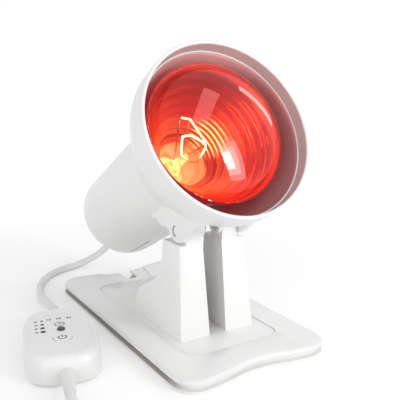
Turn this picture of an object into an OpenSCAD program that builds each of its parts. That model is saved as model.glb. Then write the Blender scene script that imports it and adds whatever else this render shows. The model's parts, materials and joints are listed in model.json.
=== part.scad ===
// Infrared heat therapy lamp: a bell shade with a red reflector bulb tilts on two legs,
// and an in-line controller sits on the mains cord.
// Origin on the table under the middle of the base, lamp facing -Y, +Z up, millimetres.

/* [Base] */
// Width of the base
base_w = 113; // [104:1:124]
// Length of the base, front to rear
base_l = 209; // [190:1:230]
// Height of the base
base_h = 8.8; // [8.4:0.1:10]
// Corner radius of the base seen from above
base_corner_r = 15; // [10:1:20]
// How far the front edge draws in at its middle
front_dip = 6; // [0:0.5:10]
// How far the rear edge draws in at its middle
rear_dip = 8; // [0:0.5:12]
// Thickness of the edge of the cover plate
cover_t = 2.8; // [2.4:0.1:3.2]
// Thickness of the tray's floor and flange
tray_floor = 2; // [1.8:0.1:2.6]
// Wall of the tray
tray_wall = 2.4; // [1.8:0.1:3]
// How far the tray's wall stands in from the edge
tray_inset = 3.5; // [2:0.5:5]
// Width of the hanging notch in the rear edge
notch_w = 11; // [8:0.5:13]
// Depth of the hanging notch
notch_depth = 18; // [12:1:22]
// Half width of the shallow channel at the rear edge
channel_rear = 21; // [16:1:28]
// Half width of the channel at its front end
channel_front = 9; // [7:1:12]
// Depth of the channel below the top of the foot panel
channel_depth = 0.4; // [0.2:0.1:0.6]
// Width of the foot panel that the legs stand on
panel_w = 73; // [68:1:78]
// Distance of the foot panel behind the base's front corners
panel_front_margin = 29; // [25:0.5:34]
// Bridge of the cover between the foot panel and the notch
notch_bridge = 6.5; // [4:0.5:12]
// Corner radius of the foot panel
panel_r = 10; // [6:1:14]
// How far the foot panel lies below the top of the cover
panel_drop = 0.8; // [0.4:0.1:1]
// Gap round the foot panel
panel_gap = 0.35; // [0.2:0.05:0.6]
// Thickness of the steel ballast plate
ballast_t = 2.4; // [2:0.1:2.6]
// Radius of the anti-slip pads
pad_r = 7; // [5:0.5:8]
// Thickness of the anti-slip pads
pad_t = 1.2; // [0.8:0.1:1.4]
// Distance of the pads' middles from the base's sides
pad_side = 24; // [23:0.5:28]
// Distance of the pads' middles from the base's ends
pad_end = 20; // [18:0.5:24]
// Distance of the base's screws from its sides
screw_side = 11; // [10.5:0.5:12]
// Distance of the end screws from the base's ends
screw_end = 18.5; // [17:0.5:22]

/* [Legs] */
// Half of the gap between the legs at the base
leg_gap_base = 6.5; // [5:0.5:8]
// Half of the gap between the legs at the pivot
leg_gap_top = 7.6; // [6:0.2:8.5]
// Half of the width over both legs at the base
leg_out_base = 29.1; // [28:0.1:32]
// Front of the legs at the base
leg_front_base = -52.9; // [-56:0.1:-50]
// Front of the legs at the step below the ears
leg_front_top = -45.3; // [-46.5:0.1:-44.5]
// Rear of the legs at the base
leg_rear_base = 18.5; // [14:0.5:22]
// Rear of the legs at the step below the ears
leg_rear_top = -22.6; // [-24:0.2:-20]
// Gap between the ears and the legs' step at full tilt
step_gap = 0.4; // [0.3:0.1:1]
// Wall of the hollow legs
leg_wall = 2.4; // [1.8:0.1:3]

/* [Tilt joint] */
// Pivot axis, forward of the middle of the base
pivot_y = -39.5; // [-41:0.1:-38]
// Height of the pivot axis
pivot_z = 81; // [80:0.2:84]
// Largest tilt of the face down from its rest, in degrees
tilt_down = 30; // [20:1:32]
// Radius of the pivot bolts
bolt_r = 2; // [1.5:0.1:2.5]
// Running clearance of the bolts in the ears
bolt_play = 0.05; // [0.02:0.01:0.1]
// Radius of the rounded top of each leg's tongue
tongue_r = 6.2; // [5:0.1:6.4]
// Thickness of the ears
ear_t = 4.1; // [3.8:0.1:4.4]
// Inner face of the ears
ear_in = 21.2; // [20.8:0.1:22]
// Gap between the tongue and the ear
ear_gap = 1; // [0.9:0.05:1.4]
// Radius of the rounded foot of the ears
ear_r = 13.8; // [12:0.2:14.4]
// Radius of the recess for the bolt head
recess_r = 3.8; // [3.4:0.1:4.4]
// Thickness of the saddle under the neck
saddle_t = 2.8; // [2:0.1:3.4]

/* [Shade] */
// Elevation of the shade's axis at rest, in degrees
head_elev = 29; // [22:1:34]
// Least gap between the bulb and the shade's liner
bulb_space = 4.3; // [3.5:0.1:7]
// Wall of the shade
shade_wall = 2.5; // [2:0.1:2.8]
// Length of the straight collar behind the lip
collar_len = 14; // [10:1:16]
// Length of the shade from lip to neck
shade_len = 66; // [64:1:68]
// Outer radius of the neck
neck_r = 37.8; // [37:0.1:39]
// Distance of the inner liner's front edge behind the lip
liner_front = 9.1; // [7:0.1:12]
// Rear end of the inner liner behind the lip
liner_rear = 52; // [44:1:54]
// Thickness of the inner liner
liner_t = 1; // [0.8:0.1:1.4]
// Distance from the lip back to the pivot, along the axis
pivot_back = 57.8; // [57:0.1:59]
// Distance from the axis down to the pivot
pivot_drop = 48.4; // [48:0.1:50]

/* [Tail housing] */
// Rear end of the tail housing behind the lip
tail_end = 190; // [186:1:200]
// Outer radius of the tail near its rear end
tail_end_r = 36.2; // [34:0.1:37]
// Radius of the rounded rear edge
tail_round = 9; // [6:0.5:12]
// Wall of the tail housing
tail_wall = 2.2; // [1.8:0.1:2.6]
// Length of the spigot that plugs into the shade
spigot_len = 8; // [5:0.5:10]
// Front end of the vent slots behind the lip
vent_front = 140; // [130:1:150]
// Length of the vent slots
vent_len = 40; // [20:1:41]
// Width of the vent slots
vent_w = 2.2; // [1.5:0.1:3]
// Distance of the vent slots from the middle plane
vent_x = 4.5; // [3:0.5:8]

/* [Bulb] */
// Largest radius of the reflector bulb
bulb_r = 48.5; // [46:0.5:50]
// Tip of the bulb's face behind the lip
bulb_tip = -3; // [-5:0.5:2]
// Distance from the tip back to the widest ring
bulb_dome = 19.5; // [17:0.5:22]
// Height of the bulb and its socket above the shade's axis
bulb_lift = 3.5; // [0:0.5:4]
// Thickness of the glass
glass_t = 1; // [0.8:0.1:1.4]
// Radius of the bulb's neck
bulb_neck_r = 16; // [14:0.5:17]
// Distance from the tip to the screw cap
bulb_len = 104; // [100:1:108]
// Radius of the screw cap
cap_r = 13.2; // [12.6:0.1:13.4]
// Length of the screw cap
cap_len = 25; // [22:1:27]

/* [Lamp socket] */
// Outer radius of the ceramic socket
socket_r = 19.5; // [18.6:0.1:22]
// Radius of the socket's bore
socket_bore = 14.6; // [14.4:0.1:15]
// Length of the socket
socket_len = 36; // [34:1:40]
// Thickness of the socket's mounting plate
mount_plate_t = 1.5; // [1:0.1:2]

/* [Controller] */
// Width of the controller
ctrl_w = 48; // [44:1:54]
// Length of the controller
ctrl_l = 82; // [76:1:92]
// Height of the controller
ctrl_h = 19; // [18:0.5:22]
// Height of the seam between its shells
ctrl_seam = 8; // [7:0.5:9]
// Wall of its shells
ctrl_wall = 2; // [1.6:0.1:2.4]
// Middle of the controller, across
ctrl_x = -98; // [-110:1:-92]
// Middle of the controller, front to rear
ctrl_y = -14; // [-20:1:0]
// Turn of the controller on the table, in degrees
ctrl_turn = -15; // [-20:1:-10]
// Radius of the power button
power_r = 5.9; // [5:0.1:6.5]
// Radius of the timer button
timer_r = 2.4; // [2:0.1:3]
// Gap round the buttons
button_gap = 0.3; // [0.2:0.05:0.4]
// Travel of the buttons
button_travel = 0.6; // [0.4:0.1:0.7]
// Radius of the indicator lights
light_r = 1.1; // [0.8:0.1:1.4]

/* [Cord] */
// Diameter of the mains cord
cord_d = 6; // [5:0.2:6.4]
// Length of the strain relief on the head
head_relief_len = 28; // [22:1:36]
// Length of the strain reliefs on the controller
ctrl_relief_len = 22; // [20:1:30]
// Radius of the coil's outermost turn
coil_r = 45; // [43:1:48]
// Distance between neighbouring turns
coil_pitch = 6.5; // [6.5:0.1:7]
// Distance between the two layers
coil_rise = 6.6; // [6.5:0.1:7]
// Turns in the coil
coil_turns = 5.5; // [3.5:1:7.5]
// Width of the plug's body
plug_w = 25; // [22:1:30]
// Thickness of the plug's body
plug_h = 15; // [13:1:18]
// Length of the plug's body
plug_l = 30; // [24:1:36]
// Length of the plug's flat pins
pin_len = 17; // [15:1:20]

/* [Hidden] */
$fn = 64;

// Small amount by which a cut passes a face
cut = 1;
// Gap between pieces of one body that only seat
seat = 0.3;

// Heights in the base
cover_z = base_h - cover_t;
panel_z = base_h - panel_drop;
panel_flange_t = 1;
ballast_z = tray_floor + 0.1;
edge_steps = 24;
corner_steps = 8;

// Foot panel's place
panel_front = panel_front_margin - base_l / 2;
panel_rear = base_l / 2 - rear_dip - notch_depth - notch_bridge;
panel_mid_y = (panel_front + panel_rear) / 2;
panel_l = panel_rear - panel_front;

// Screws of the base: tray to cover, and through the panel into the legs
screw_r = 1.5;
screw_head_r = 2.8;
base_screw_at = [for (x = [-1, 1], y = [-1, 0, 1]) [x * (base_w / 2 - screw_side), y * (base_l / 2 - screw_end)]];
pad_at = [for (x = [-1, 1], y = [-1, 1]) [x * (base_w / 2 - pad_side), y * (base_l / 2 - pad_end)]];
leg_screw_r = 2;
leg_screw_head_r = 3.8;
leg_screw_x = 17.8;
leg_screw_ys = [-37, -4];
leg_screw_top = 20;
leg_boss_r = 5;

// Legs and joint
tongue_out = ear_in - ear_gap;
leg_out_top = ear_in + ear_t + 0.1;
boss_in = leg_gap_top - 2;
ear_centre = [-5, -4.8];
// Angle of the foot's centre off the upright at rest
ear_low = atan2(-ear_centre[1], -ear_centre[0]) - head_elev;
leg_step_z = pivot_z + norm(ear_centre) * cos(ear_low + tilt_down) - ear_r - step_gap;
head_r = recess_r - 0.5;
ear_floor = 1.4;
bolt_head_in = ear_in + ear_floor + seat;
bolt_head_t = 1;
cap_in = bolt_head_in + bolt_head_t + seat;
cap_t = 0.6;
nut_r = 3.7;
nut_t = 2.4;
washer_t = 0.6;

// Bulb and socket, along the axis behind the lip
bulb_wide = bulb_tip + bulb_dome;
bulb_back = bulb_tip + bulb_len;
cap_back = bulb_back + cap_len;
socket_front = bulb_back + 5;
socket_back = socket_front + socket_len;
plate_back = socket_back + mount_plate_t;
column_x = 26;
column_r = 3.6;

// Cord leaves the rear wall of the tail here, across and down from its axis
exit_x = 8;
exit_drop = 10;
cord_r = cord_d / 2;

// Controller's marks, from its middle
power_at = [0.4, -12.7];
timer_at = [0.6, 0.6];
light_at = [[-15, 17], [-15, 11.2], [-15, 5.4], [-15, -0.4]];
board_z = 6;
board_t = 1.6;
ctrl_top_wall = ctrl_wall;
switch_h = 3.5;
relief_z = ctrl_seam;
ctrl_corner = 3.6;
ctrl_sides = 48;

// Direction of the head's axis towards the rear, and the end of its strain relief
head_back = [0, cos(head_elev), -sin(head_elev)];
head_down = [0, -sin(head_elev), -cos(head_elev)];
relief_end = [exit_x, pivot_y, pivot_z] + (exit_drop - pivot_drop) * head_down
  + (tail_end + head_relief_len - pivot_back) * head_back;
// Route of the cord from the head's strain relief down to the table
drop_route = [relief_end, relief_end + cord_d * 1.5 * head_back, [6.5, 136, 25], [3, 143, 17.5], [-3, 147.5, 11],
  [-12, 149.5, 6.2], [-23, 149, 3.6]];
// Route along the table to the controller's upper strain relief
run_route = [[-23, 149, 3.6], [-35, 146.5, 3.1], [-47, 141, 3], [-58, 132.5, 3], [-66.5, 121, 3],
  [-72.5, 108, 3], [-76.5, 94, 3.4], [-79, 80, 4.8], [-80.2, 66, 6.8], [-81.7, 52, 7.9],
  [-81.7, 46.9, 8]];
// Route from the lower strain relief to the coil
lead_route = [[-114.3, -74.9, 8], [-117.5, -87, 7.4], [-120.8, -98, 5.9], [-123.6, -109, 4.4],
  [-125.5, -119, 3.7], [-126, -124, 3.6]];

// Coil on the table
coil_mid = [-171, -130];
coil_z = cord_r + 0.6;
coil_sides = 6;
loop_rings = 24;
tie_t = 0.5;
tie_w = 9;

// Plug beside the coil
plug_x = coil_mid[0] - coil_r;
plug_relief_len = 24;

// ---- Shared functions ----

function bez(c, t) = pow(1 - t, 3) * c[0] + 3 * t * pow(1 - t, 2) * c[1]
  + 3 * t * t * (1 - t) * c[2] + pow(t, 3) * c[3];
function bez_run(c, t) = pow(1 - t, 2) * (c[1] - c[0]) + 2 * t * (1 - t) * (c[2] - c[1])
  + t * t * (c[3] - c[2]);
// Point of a curve in the half plane [radius, place], set in by d on its inner side
function inset_bez(c, t, d) = let (v = bez_run(c, t), u = v / norm(v)) bez(c, t) + d * [-u[1], u[0]];
function arc(c, r, from, to, n) = [for (i = [0 : n])
  c + r * [cos(from + (to - from) * i / n), sin(from + (to - from) * i / n)]];
function reverse(v) = [for (i = [len(v) - 1 : -1 : 0]) v[i]];
function unit(v) = v / norm(v);

// A closed skin over rings of equal point counts, with flat ends
module skin(rings) {
  n = len(rings[0]);
  last = len(rings) - 1;
  sides = [for (i = [0 : last - 1], j = [0 : n - 1]) let (k = (j + 1) % n, a = i * n, b = a + n)
    each [[a + j, b + j, b + k], [a + j, b + k, a + k]]];
  ends = [[for (j = [0 : n - 1]) j], [for (j = [n - 1 : -1 : 0]) last * n + j]];
  polyhedron(points = [for (r = rings) each r], faces = concat(sides, ends), convexity = 4);
}

// Rings of a round tube along points, square to the given end directions
function tube_dir(p, i) = i == 0 ? unit(p[1] - p[0])
  : i == len(p) - 1 ? unit(p[i] - p[i - 1]) : unit(p[i + 1] - p[i - 1]);
function tube_ring(at, dir, r, n) = let (side = unit(cross(dir, [0, 0, 1])), up = cross(side, dir))
  [for (j = [0 : n - 1]) let (a = 360 * (j + 0.5) / n) at + r * (cos(a) * side + sin(a) * up)];
function tube(p, r, n, first, last) = [for (i = [0 : len(p) - 1])
  tube_ring(p[i], i == 0 ? first : i == len(p) - 1 ? last : tube_dir(p, i), r, n)];

// Outline of the base, set in by g
function base_outline(g) = let (w = base_w / 2 - g, l = base_l / 2 - g, r = base_corner_r - g,
    f = w - r, dip = function (x) (1 + cos(180 * x / f)) / 2)
  concat([for (i = [0 : edge_steps - 1]) let (x = f * (2 * i / edge_steps - 1))
      [x, -l + front_dip * dip(x)]],
    arc([f, r - l], r, -90, 0, corner_steps), arc([f, l - r], r, 0, 90, corner_steps),
    [for (i = [1 : edge_steps - 1]) let (x = f * (1 - 2 * i / edge_steps))
      [x, l - rear_dip * dip(x)]],
    arc([-f, l - r], r, 90, 180, corner_steps),
    [for (p = arc([-f, r - l], r, 180, 270, corner_steps)) if (p[1] > -l) p]);

module rounded_plate(w, l, r, h) {
  linear_extrude(h) union() {
    square([w - 2 * r, l], center = true);
    square([w, l - 2 * r], center = true);
    for (x = [-1, 1], y = [-1, 1]) translate([x * (w / 2 - r), y * (l / 2 - r)]) circle(r);
  }
}

// ---- Base ----

module notch() {
  rear = base_l / 2 - rear_dip;
  translate([0, 0, -cut]) linear_extrude(base_h + 2 * cut) {
    translate([-notch_w / 2, rear - notch_depth + notch_w / 2])
      square([notch_w, notch_depth + rear_dip]);
    translate([0, rear - notch_depth + notch_w / 2]) circle(notch_w / 2);
  }
}

// Shallow channel that narrows from the rear edge towards the legs
module channel(z) {
  front_y = panel_rear - 22;
  rear_y = base_l / 2 + cut;
  translate([0, 0, z]) linear_extrude(base_h)
    polygon([[-channel_front, front_y], [channel_front, front_y],
      [channel_rear, rear_y], [-channel_rear, rear_y]]);
}

module base_cover() color("whitesmoke") difference() {
  union() {
    translate([0, 0, cover_z]) linear_extrude(cover_t - 0.9) polygon(base_outline(0));
    translate([0, 0, base_h - 0.9]) linear_extrude(0.5) polygon(base_outline(0.45));
    translate([0, 0, base_h - 0.4]) linear_extrude(0.4) polygon(base_outline(1.3));
    for (p = base_screw_at) translate([p[0], p[1], tray_floor + seat])
      cylinder(r = 3.2, h = cover_z - tray_floor);
  }
  translate([0, panel_mid_y, 0])
    rounded_plate(panel_w + 2 * panel_gap, panel_l + 2 * panel_gap, panel_r + panel_gap, base_h + cut);
  for (p = base_screw_at) translate([p[0], p[1], 0]) cylinder(r = screw_r, h = cover_z + 1);
  channel(panel_z - channel_depth);
  notch();
}

module base_tray() color("gainsboro") difference() {
  union() {
    linear_extrude(tray_floor) polygon(base_outline(0));
    linear_extrude(cover_z) difference() {
      polygon(base_outline(tray_inset));
      polygon(base_outline(tray_inset + tray_wall));
    }
    // Wall round the notch
    intersection() {
      linear_extrude(cover_z) polygon(base_outline(tray_inset));
      translate([-notch_w / 2 - tray_wall, base_l / 2 - rear_dip - notch_depth - tray_wall, 0])
        cube([notch_w + 2 * tray_wall, notch_depth + rear_dip + tray_wall, cover_z]);
    }
  }
  for (p = pad_at) translate([p[0], p[1], -cut]) cylinder(r = pad_r + 0.2, h = pad_t + cut);
  for (p = base_screw_at) translate([p[0], p[1], -cut]) {
    cylinder(r = screw_head_r + 0.2, h = 1 + cut);
    cylinder(r = screw_r + 0.2, h = base_h);
  }
  for (x = [-1, 1], y = leg_screw_ys) translate([x * leg_screw_x, y, -cut]) {
    cylinder(r = leg_screw_head_r + 0.2, h = 1.2 + cut);
    cylinder(r = leg_screw_r + 0.2, h = base_h);
  }
  notch();
}

module ballast_plate() color("slategray") difference() {
  translate([0, panel_mid_y, ballast_z]) rounded_plate(panel_w - 6, panel_l - 6, panel_r - 3, ballast_t);
  for (x = [-1, 1], y = leg_screw_ys) translate([x * leg_screw_x, y, 0])
    cylinder(r = leg_screw_r + 0.2, h = base_h);
}

module foot_pads() color("dimgray") for (p = pad_at) translate([p[0], p[1], 0])
  cylinder(r = pad_r, h = pad_t);

module base_screws() color("silver") for (p = base_screw_at) translate([p[0], p[1], 0.2]) {
  difference() {
    cylinder(r = screw_head_r, h = 0.8);
    translate([-screw_head_r, -0.3, -cut]) cube([2 * screw_head_r, 0.6, cut + 0.4]);
  }
  cylinder(r = screw_r, h = cover_z);
}

module foot_panel() color("white") difference() {
  union() {
    translate([0, panel_mid_y, cover_z]) rounded_plate(panel_w, panel_l, panel_r, panel_z - cover_z);
    translate([0, panel_mid_y, cover_z - panel_flange_t])
      rounded_plate(panel_w + 6, panel_l + 6, panel_r + 3, panel_flange_t);
  }
  for (x = [-1, 1], y = leg_screw_ys) translate([x * leg_screw_x, y, 0])
    cylinder(r = leg_screw_r + 0.2, h = base_h + cut);
  channel(panel_z - channel_depth);
}

// ---- Legs ----

// Rear of a leg: upright at the base, an S curve, then upright to the step
function leg_rear(g) = [for (i = [0 : 12]) bez([[leg_rear_base - 4.5 - g, panel_z + 12],
  [leg_rear_base - 8.5 - g, panel_z + 27], [leg_rear_top + 2.6 - g, panel_z + 26],
  [leg_rear_top + 0.6 - g, leg_step_z - 14]], i / 12)];

module along_x(from, to) translate([from, 0, 0]) rotate([90, 0, 90]) linear_extrude(to - from) children();

// Side view of a leg below the step, set in by g, from height z0 to the step less top
module leg_side(g, z0, top) {
  rise = leg_step_z - panel_z;
  lean = (leg_front_top - leg_front_base) / rise;
  polygon(concat([[leg_front_base + g + lean * (z0 - panel_z), z0], [leg_rear_base - g, z0]],
    leg_rear(g), [[leg_rear_top - g, leg_step_z - top],
      [leg_front_top + g - lean * top, leg_step_z - top]]));
}

module tongue_side() polygon(concat(arc([pivot_y, pivot_z], tongue_r, -6, 186, 24),
  [[leg_front_top + 0.3, leg_step_z - 2], [leg_front_top + 15, leg_step_z - 2]]));

// Front view of a leg: inner and outer faces draw in towards the top
module leg_front(g, z0, z1) {
  rise = leg_step_z - panel_z;
  inner = function (z) leg_gap_base + g + (leg_gap_top - leg_gap_base) * (z - panel_z) / rise;
  outer = function (z) leg_out_base - g + (leg_out_top - leg_out_base) * (z - panel_z) / rise;
  translate([0, base_l, 0]) rotate([90, 0, 0]) linear_extrude(2 * base_l)
    polygon([[inner(z0), z0], [outer(z0), z0], [outer(z1), z1], [inner(z1), z1]]);
}

module leg() difference() {
  union() {
    difference() {
      intersection() {
        along_x(0, 2 * leg_out_base) leg_side(0, panel_z, 0);
        leg_front(0, panel_z, leg_step_z + 1);
      }
      intersection() {
        along_x(0, 2 * leg_out_base) leg_side(leg_wall, panel_z - cut, 5);
        leg_front(leg_wall, panel_z - cut, leg_step_z);
      }
    }
    along_x(leg_gap_top + 0.4, tongue_out) tongue_side();
    along_x(boss_in, leg_gap_top + 1) translate([pivot_y, pivot_z]) circle(tongue_r - 0.2);
    for (y = leg_screw_ys) translate([0, y, 0]) {
      translate([leg_screw_x, 0, panel_z]) cylinder(r = leg_boss_r, h = leg_screw_top - panel_z + 2);
      translate([leg_gap_top, -1, panel_z]) cube([leg_out_top - leg_gap_top, 2, leg_screw_top - panel_z]);
    }
  }
  along_x(0, 2 * leg_out_base) translate([pivot_y, pivot_z]) circle(bolt_r);
  for (y = leg_screw_ys) translate([leg_screw_x, y, 0]) cylinder(r = leg_screw_r, h = leg_screw_top + 0.5);
}

module leg_right() color("white") leg();
module leg_left() color("white") mirror([1, 0, 0]) leg();

module leg_screws() color("silver") for (x = [-1, 1], y = leg_screw_ys)
  translate([x * leg_screw_x, y, 0.2]) {
    cylinder(r = leg_screw_head_r, h = 1);
    cylinder(r = leg_screw_r, h = leg_screw_top - 0.2);
  }

// ---- Tilt joint ----

module both_sides() for (m = [0, 1]) mirror([m, 0, 0]) children();

module pivot_bolts() color("silver") both_sides() translate([0, pivot_y, pivot_z]) {
  along_x(boss_in - nut_t - 0.6, bolt_head_in + 0.1) circle(bolt_r);
  along_x(bolt_head_in, bolt_head_in + bolt_head_t) difference() {
    circle(head_r);
    circle(1.5, $fn = 6);
  }
  along_x(bolt_head_in, bolt_head_in + 0.4) circle(head_r);
}

module pivot_nuts() color("silver") both_sides() translate([0, pivot_y, pivot_z])
  along_x(boss_in - nut_t, boss_in) difference() {
    circle(nut_r, $fn = 6);
    circle(bolt_r + 0.01);
  }

module friction_washers() color("black") both_sides() translate([0, pivot_y, pivot_z])
  along_x(tongue_out, tongue_out + washer_t) difference() {
    circle(tongue_r - 0.4);
    circle(bolt_r + 0.1);
  }

// ---- Head: local x across, y down from the axis, z back from the lip ----

module head() translate([0, pivot_y, pivot_z]) rotate([-90 - head_elev, 0, 0])
  translate([0, -pivot_drop, -pivot_back]) children();

// Outer curve of the shade from the collar to the neck, as [radius, distance behind the lip]
// The shade clears the bulb, which sits above its axis, and the liner
shade_r = bulb_r + bulb_lift + bulb_space + liner_t + seat + shade_wall;
shade_curve = [[shade_r, collar_len], [shade_r - 0.6, collar_len + 16],
  [neck_r + 8.2, shade_len - 24], [neck_r, shade_len]];
curve_steps = 20;
lip_r = shade_wall / 2;
// Part of the curve that lies ahead of the liner's rear end
liner_t_end = (liner_rear - collar_len) / (shade_len - collar_len);

// The bulb and its socket have their own axis, a little above the shade's
module bulb_axis() head() translate([0, -bulb_lift, 0]) children();

module shade() color("whitesmoke") head() rotate_extrude($fn = 128)
  polygon(concat([for (i = [0 : curve_steps]) bez(shade_curve, i / curve_steps)],
    [for (i = [curve_steps : -1 : 0]) inset_bez(shade_curve, i / curve_steps, shade_wall)],
    arc([shade_r - lip_r, lip_r], lip_r, 180, 360, 8)));

module heat_shield() color("lightgray") head() rotate_extrude($fn = 128)
  polygon(concat([[shade_r - shade_wall - seat, liner_front]],
    [for (i = [0 : curve_steps]) inset_bez(shade_curve, liner_t_end * i / curve_steps, shade_wall + seat)],
    [for (i = [curve_steps : -1 : 0])
      inset_bez(shade_curve, liner_t_end * i / curve_steps, shade_wall + seat + liner_t)],
    [[shade_r - shade_wall - seat - liner_t, liner_front]]));

// Tail: straight from the neck, a slight taper, a rounded rear edge and a flat end
tail_mid = 115;
spigot_r = neck_r - shade_wall - seat;

module rear_wall_hole(x, y, r) translate([x, y, tail_end - tail_wall - cut])
  cylinder(r = r, h = tail_wall + 2 * cut);

module tail_housing() color("whitesmoke") head() difference() {
  union() {
    rotate_extrude($fn = 128) polygon(concat(
      [[0, tail_end], [tail_end_r - tail_round, tail_end]],
      arc([tail_end_r - tail_round, tail_end - tail_round], tail_round, 75, 0, 5),
      [[neck_r - 0.2, tail_mid], [neck_r, shade_len], [spigot_r, shade_len],
        [spigot_r, shade_len - spigot_len], [spigot_r - 1.8, shade_len - spigot_len],
        [spigot_r - 1.8, shade_len + 4], [neck_r - tail_wall, shade_len + 8],
        [neck_r - 0.2 - tail_wall, tail_mid]],
      arc([tail_end_r - tail_round, tail_end - tail_round], tail_round - tail_wall, 0, 75, 5),
      [[tail_end_r - tail_round, tail_end - tail_wall], [0, tail_end - tail_wall]]));
    for (x = [-1, 1]) translate([x * column_x, -bulb_lift, plate_back])
      cylinder(r = column_r, h = tail_end - plate_back - 1);
  }
  for (x = [-1, 1]) {
    translate([x * column_x, -bulb_lift, plate_back - cut]) cylinder(r = 1.3, h = 13);
    for (z = [vent_front + vent_w / 2, vent_front + vent_len - vent_w / 2])
      translate([x * vent_x, 0, z]) rotate([-90, 0, 0]) cylinder(d = vent_w, h = neck_r + cut);
    translate([x * vent_x - vent_w / 2, 0, vent_front + vent_w / 2])
      cube([vent_w, neck_r + cut, vent_len - vent_w]);
    translate([0, 0, saddle_screw_z]) rotate([0, 0, 90 + x * saddle_screw_a]) rotate([0, 90, 0])
      cylinder(r = screw_r, h = neck_r + cut);
  }
  for (y = [-19, -13, -7]) translate([-12, y, tail_end - tail_wall - cut])
    cube([24, vent_w, tail_wall + 2 * cut]);
  rear_wall_hole(exit_x, exit_drop, gland_r);
}

// Bracket under the neck: two ears joined by a curved saddle
saddle_front = shade_len + 1;
saddle_len = 17;
saddle_screw_z = saddle_front + saddle_len / 2;
saddle_screw_a = 20;
saddle_half_angle = 37;

// Side view of an ear as [down, back], from the pivot: a rear tip along the tail, a concave
// edge into the rounded foot, and a wing that runs forward along the shade
ear_points = concat([[-27, 27], [-16, 27], [-16.6, 22.8], [-12.5, 20.4], [-9.4, 17.4], [-7.6, 14],
  [-6.2, 11]], arc(ear_centre, ear_r, 84, -12, 24), [[5.2, -22], [6.4, -36], [4.4, -40], [-12, -40], [-24, 0]]);

module ear_side() translate([pivot_drop, pivot_back]) polygon(ear_points);

module tilt_bracket() color("white") head() difference() {
  union() {
    both_sides() translate([ear_in, 0, 0]) rotate([90, 0, 90]) linear_extrude(ear_t) ear_side();
    rotate([0, 0, 90 - saddle_half_angle]) translate([0, 0, saddle_front])
      rotate_extrude(angle = 2 * saddle_half_angle, $fn = 128)
        translate([neck_r - 1, 0]) square([saddle_t + 1, saddle_len]);
  }
  // The shade and the tail seat against the ears
  rotate_extrude($fn = 128) polygon(concat([[0, -cut], [shade_r, -cut]],
    [for (i = [0 : curve_steps]) bez(shade_curve, i / curve_steps)],
    [[neck_r, tail_mid], [0, tail_mid]]));
  translate([0, pivot_drop, pivot_back]) rotate([0, 90, 0])
    cylinder(r = bolt_r + bolt_play, h = 80, center = true);
  both_sides() translate([ear_in + ear_floor, pivot_drop, pivot_back]) rotate([0, 90, 0])
    cylinder(r = recess_r, h = ear_t);
  for (s = [-1, 1]) rotate([0, 0, 90 + s * saddle_screw_a]) rotate([0, 90, 0])
    translate([-saddle_screw_z, 0, 0]) cylinder(r = screw_r, h = neck_r + 2 * saddle_t);
}

module bracket_screws() color("silver") head() for (s = [-1, 1])
  rotate([0, 0, 90 + s * saddle_screw_a]) rotate([0, 90, 0]) translate([-saddle_screw_z, 0, 0]) {
    translate([0, 0, neck_r - tail_wall - 1]) cylinder(r = screw_r, h = saddle_t + tail_wall + 1.4);
    translate([0, 0, neck_r + saddle_t + 0.05]) cylinder(r = screw_head_r, h = 1.4);
  }

module pivot_caps() color("white") head() both_sides()
  translate([cap_in, pivot_drop, pivot_back]) rotate([0, 90, 0]) cylinder(r = recess_r - 0.1, h = cap_t);

// ---- Bulb ----

dome_edge = 12;
face_curve = [[0, bulb_tip], [bulb_r * 0.55, bulb_tip], [bulb_r, bulb_wide - 10.5], [bulb_r, bulb_wide]];
back_curve = [[bulb_r, bulb_wide], [bulb_r, bulb_wide + 17], [bulb_neck_r + 9, bulb_wide + 39.5],
  [bulb_neck_r, bulb_wide + 64]];
bulb_steps = 14;

module bulb_lens() color("red", 0.5) bulb_axis() rotate_extrude($fn = 96) polygon(concat(
  [for (i = [0 : bulb_steps]) bez(face_curve, i / bulb_steps)],
  [for (i = [bulb_steps : -1 : 1]) inset_bez(face_curve, i / bulb_steps, glass_t)],
  [[0, bulb_tip + glass_t]]));

module bulb_reflector() color("firebrick") bulb_axis() rotate_extrude($fn = 96) polygon(concat(
  [for (i = [0 : bulb_steps]) bez(back_curve, i / bulb_steps)],
  [[bulb_neck_r - 1, bulb_back], [bulb_neck_r - 1 - glass_t, bulb_back]],
  [for (i = [bulb_steps : -1 : 0]) inset_bez(back_curve, i / bulb_steps, glass_t)]));

// Rounded thread ridges of the screw cap, as a wavy outline
thread_pitch = 3.63;
function thread(r, z0, z1, depth) = [for (i = [0 : 4 * floor((z1 - z0) / thread_pitch)])
  let (z = z0 + i * thread_pitch / 4) [r - depth * (1 - cos(90 * i)) / 2, z]];

module bulb_cap() color("silver") bulb_axis() rotate_extrude($fn = 96) polygon(concat(
  [[bulb_neck_r - 3, bulb_back + 0.05], [bulb_neck_r - 1, bulb_back + 0.05],
    [cap_r - 0.3, bulb_back + 4]],
  thread(cap_r, bulb_back + 4.2, cap_back - 1, 0.8), [[cap_r - 3, cap_back], [6, cap_back],
    [cap_r - 1.6, cap_back - 1.5], [cap_r - 1.6, bulb_back + 4.5], [bulb_neck_r - 3, bulb_back + 1.2]]));

module cap_insulator() color("dimgray") bulb_axis() translate([0, 0, cap_back])
  cylinder(r1 = cap_r - 3.5, r2 = 6, h = 3.2);

module cap_contact() color("silver") bulb_axis() translate([0, 0, cap_back + 3.2])
  cylinder(r1 = 4.6, r2 = 3.8, h = 1.2);

stem_top = 62;

module glass_stem() color("lightyellow", 0.6) bulb_axis() translate([0, 0, stem_top])
  rotate_extrude($fn = 48) polygon([[0, -2], [2.6, 0], [3, 8], [4.2, 18], [9, bulb_back - 12 - stem_top],
    [bulb_neck_r - 2.4, bulb_back - 3 - stem_top], [0, bulb_back - 3 - stem_top]]);

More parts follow.
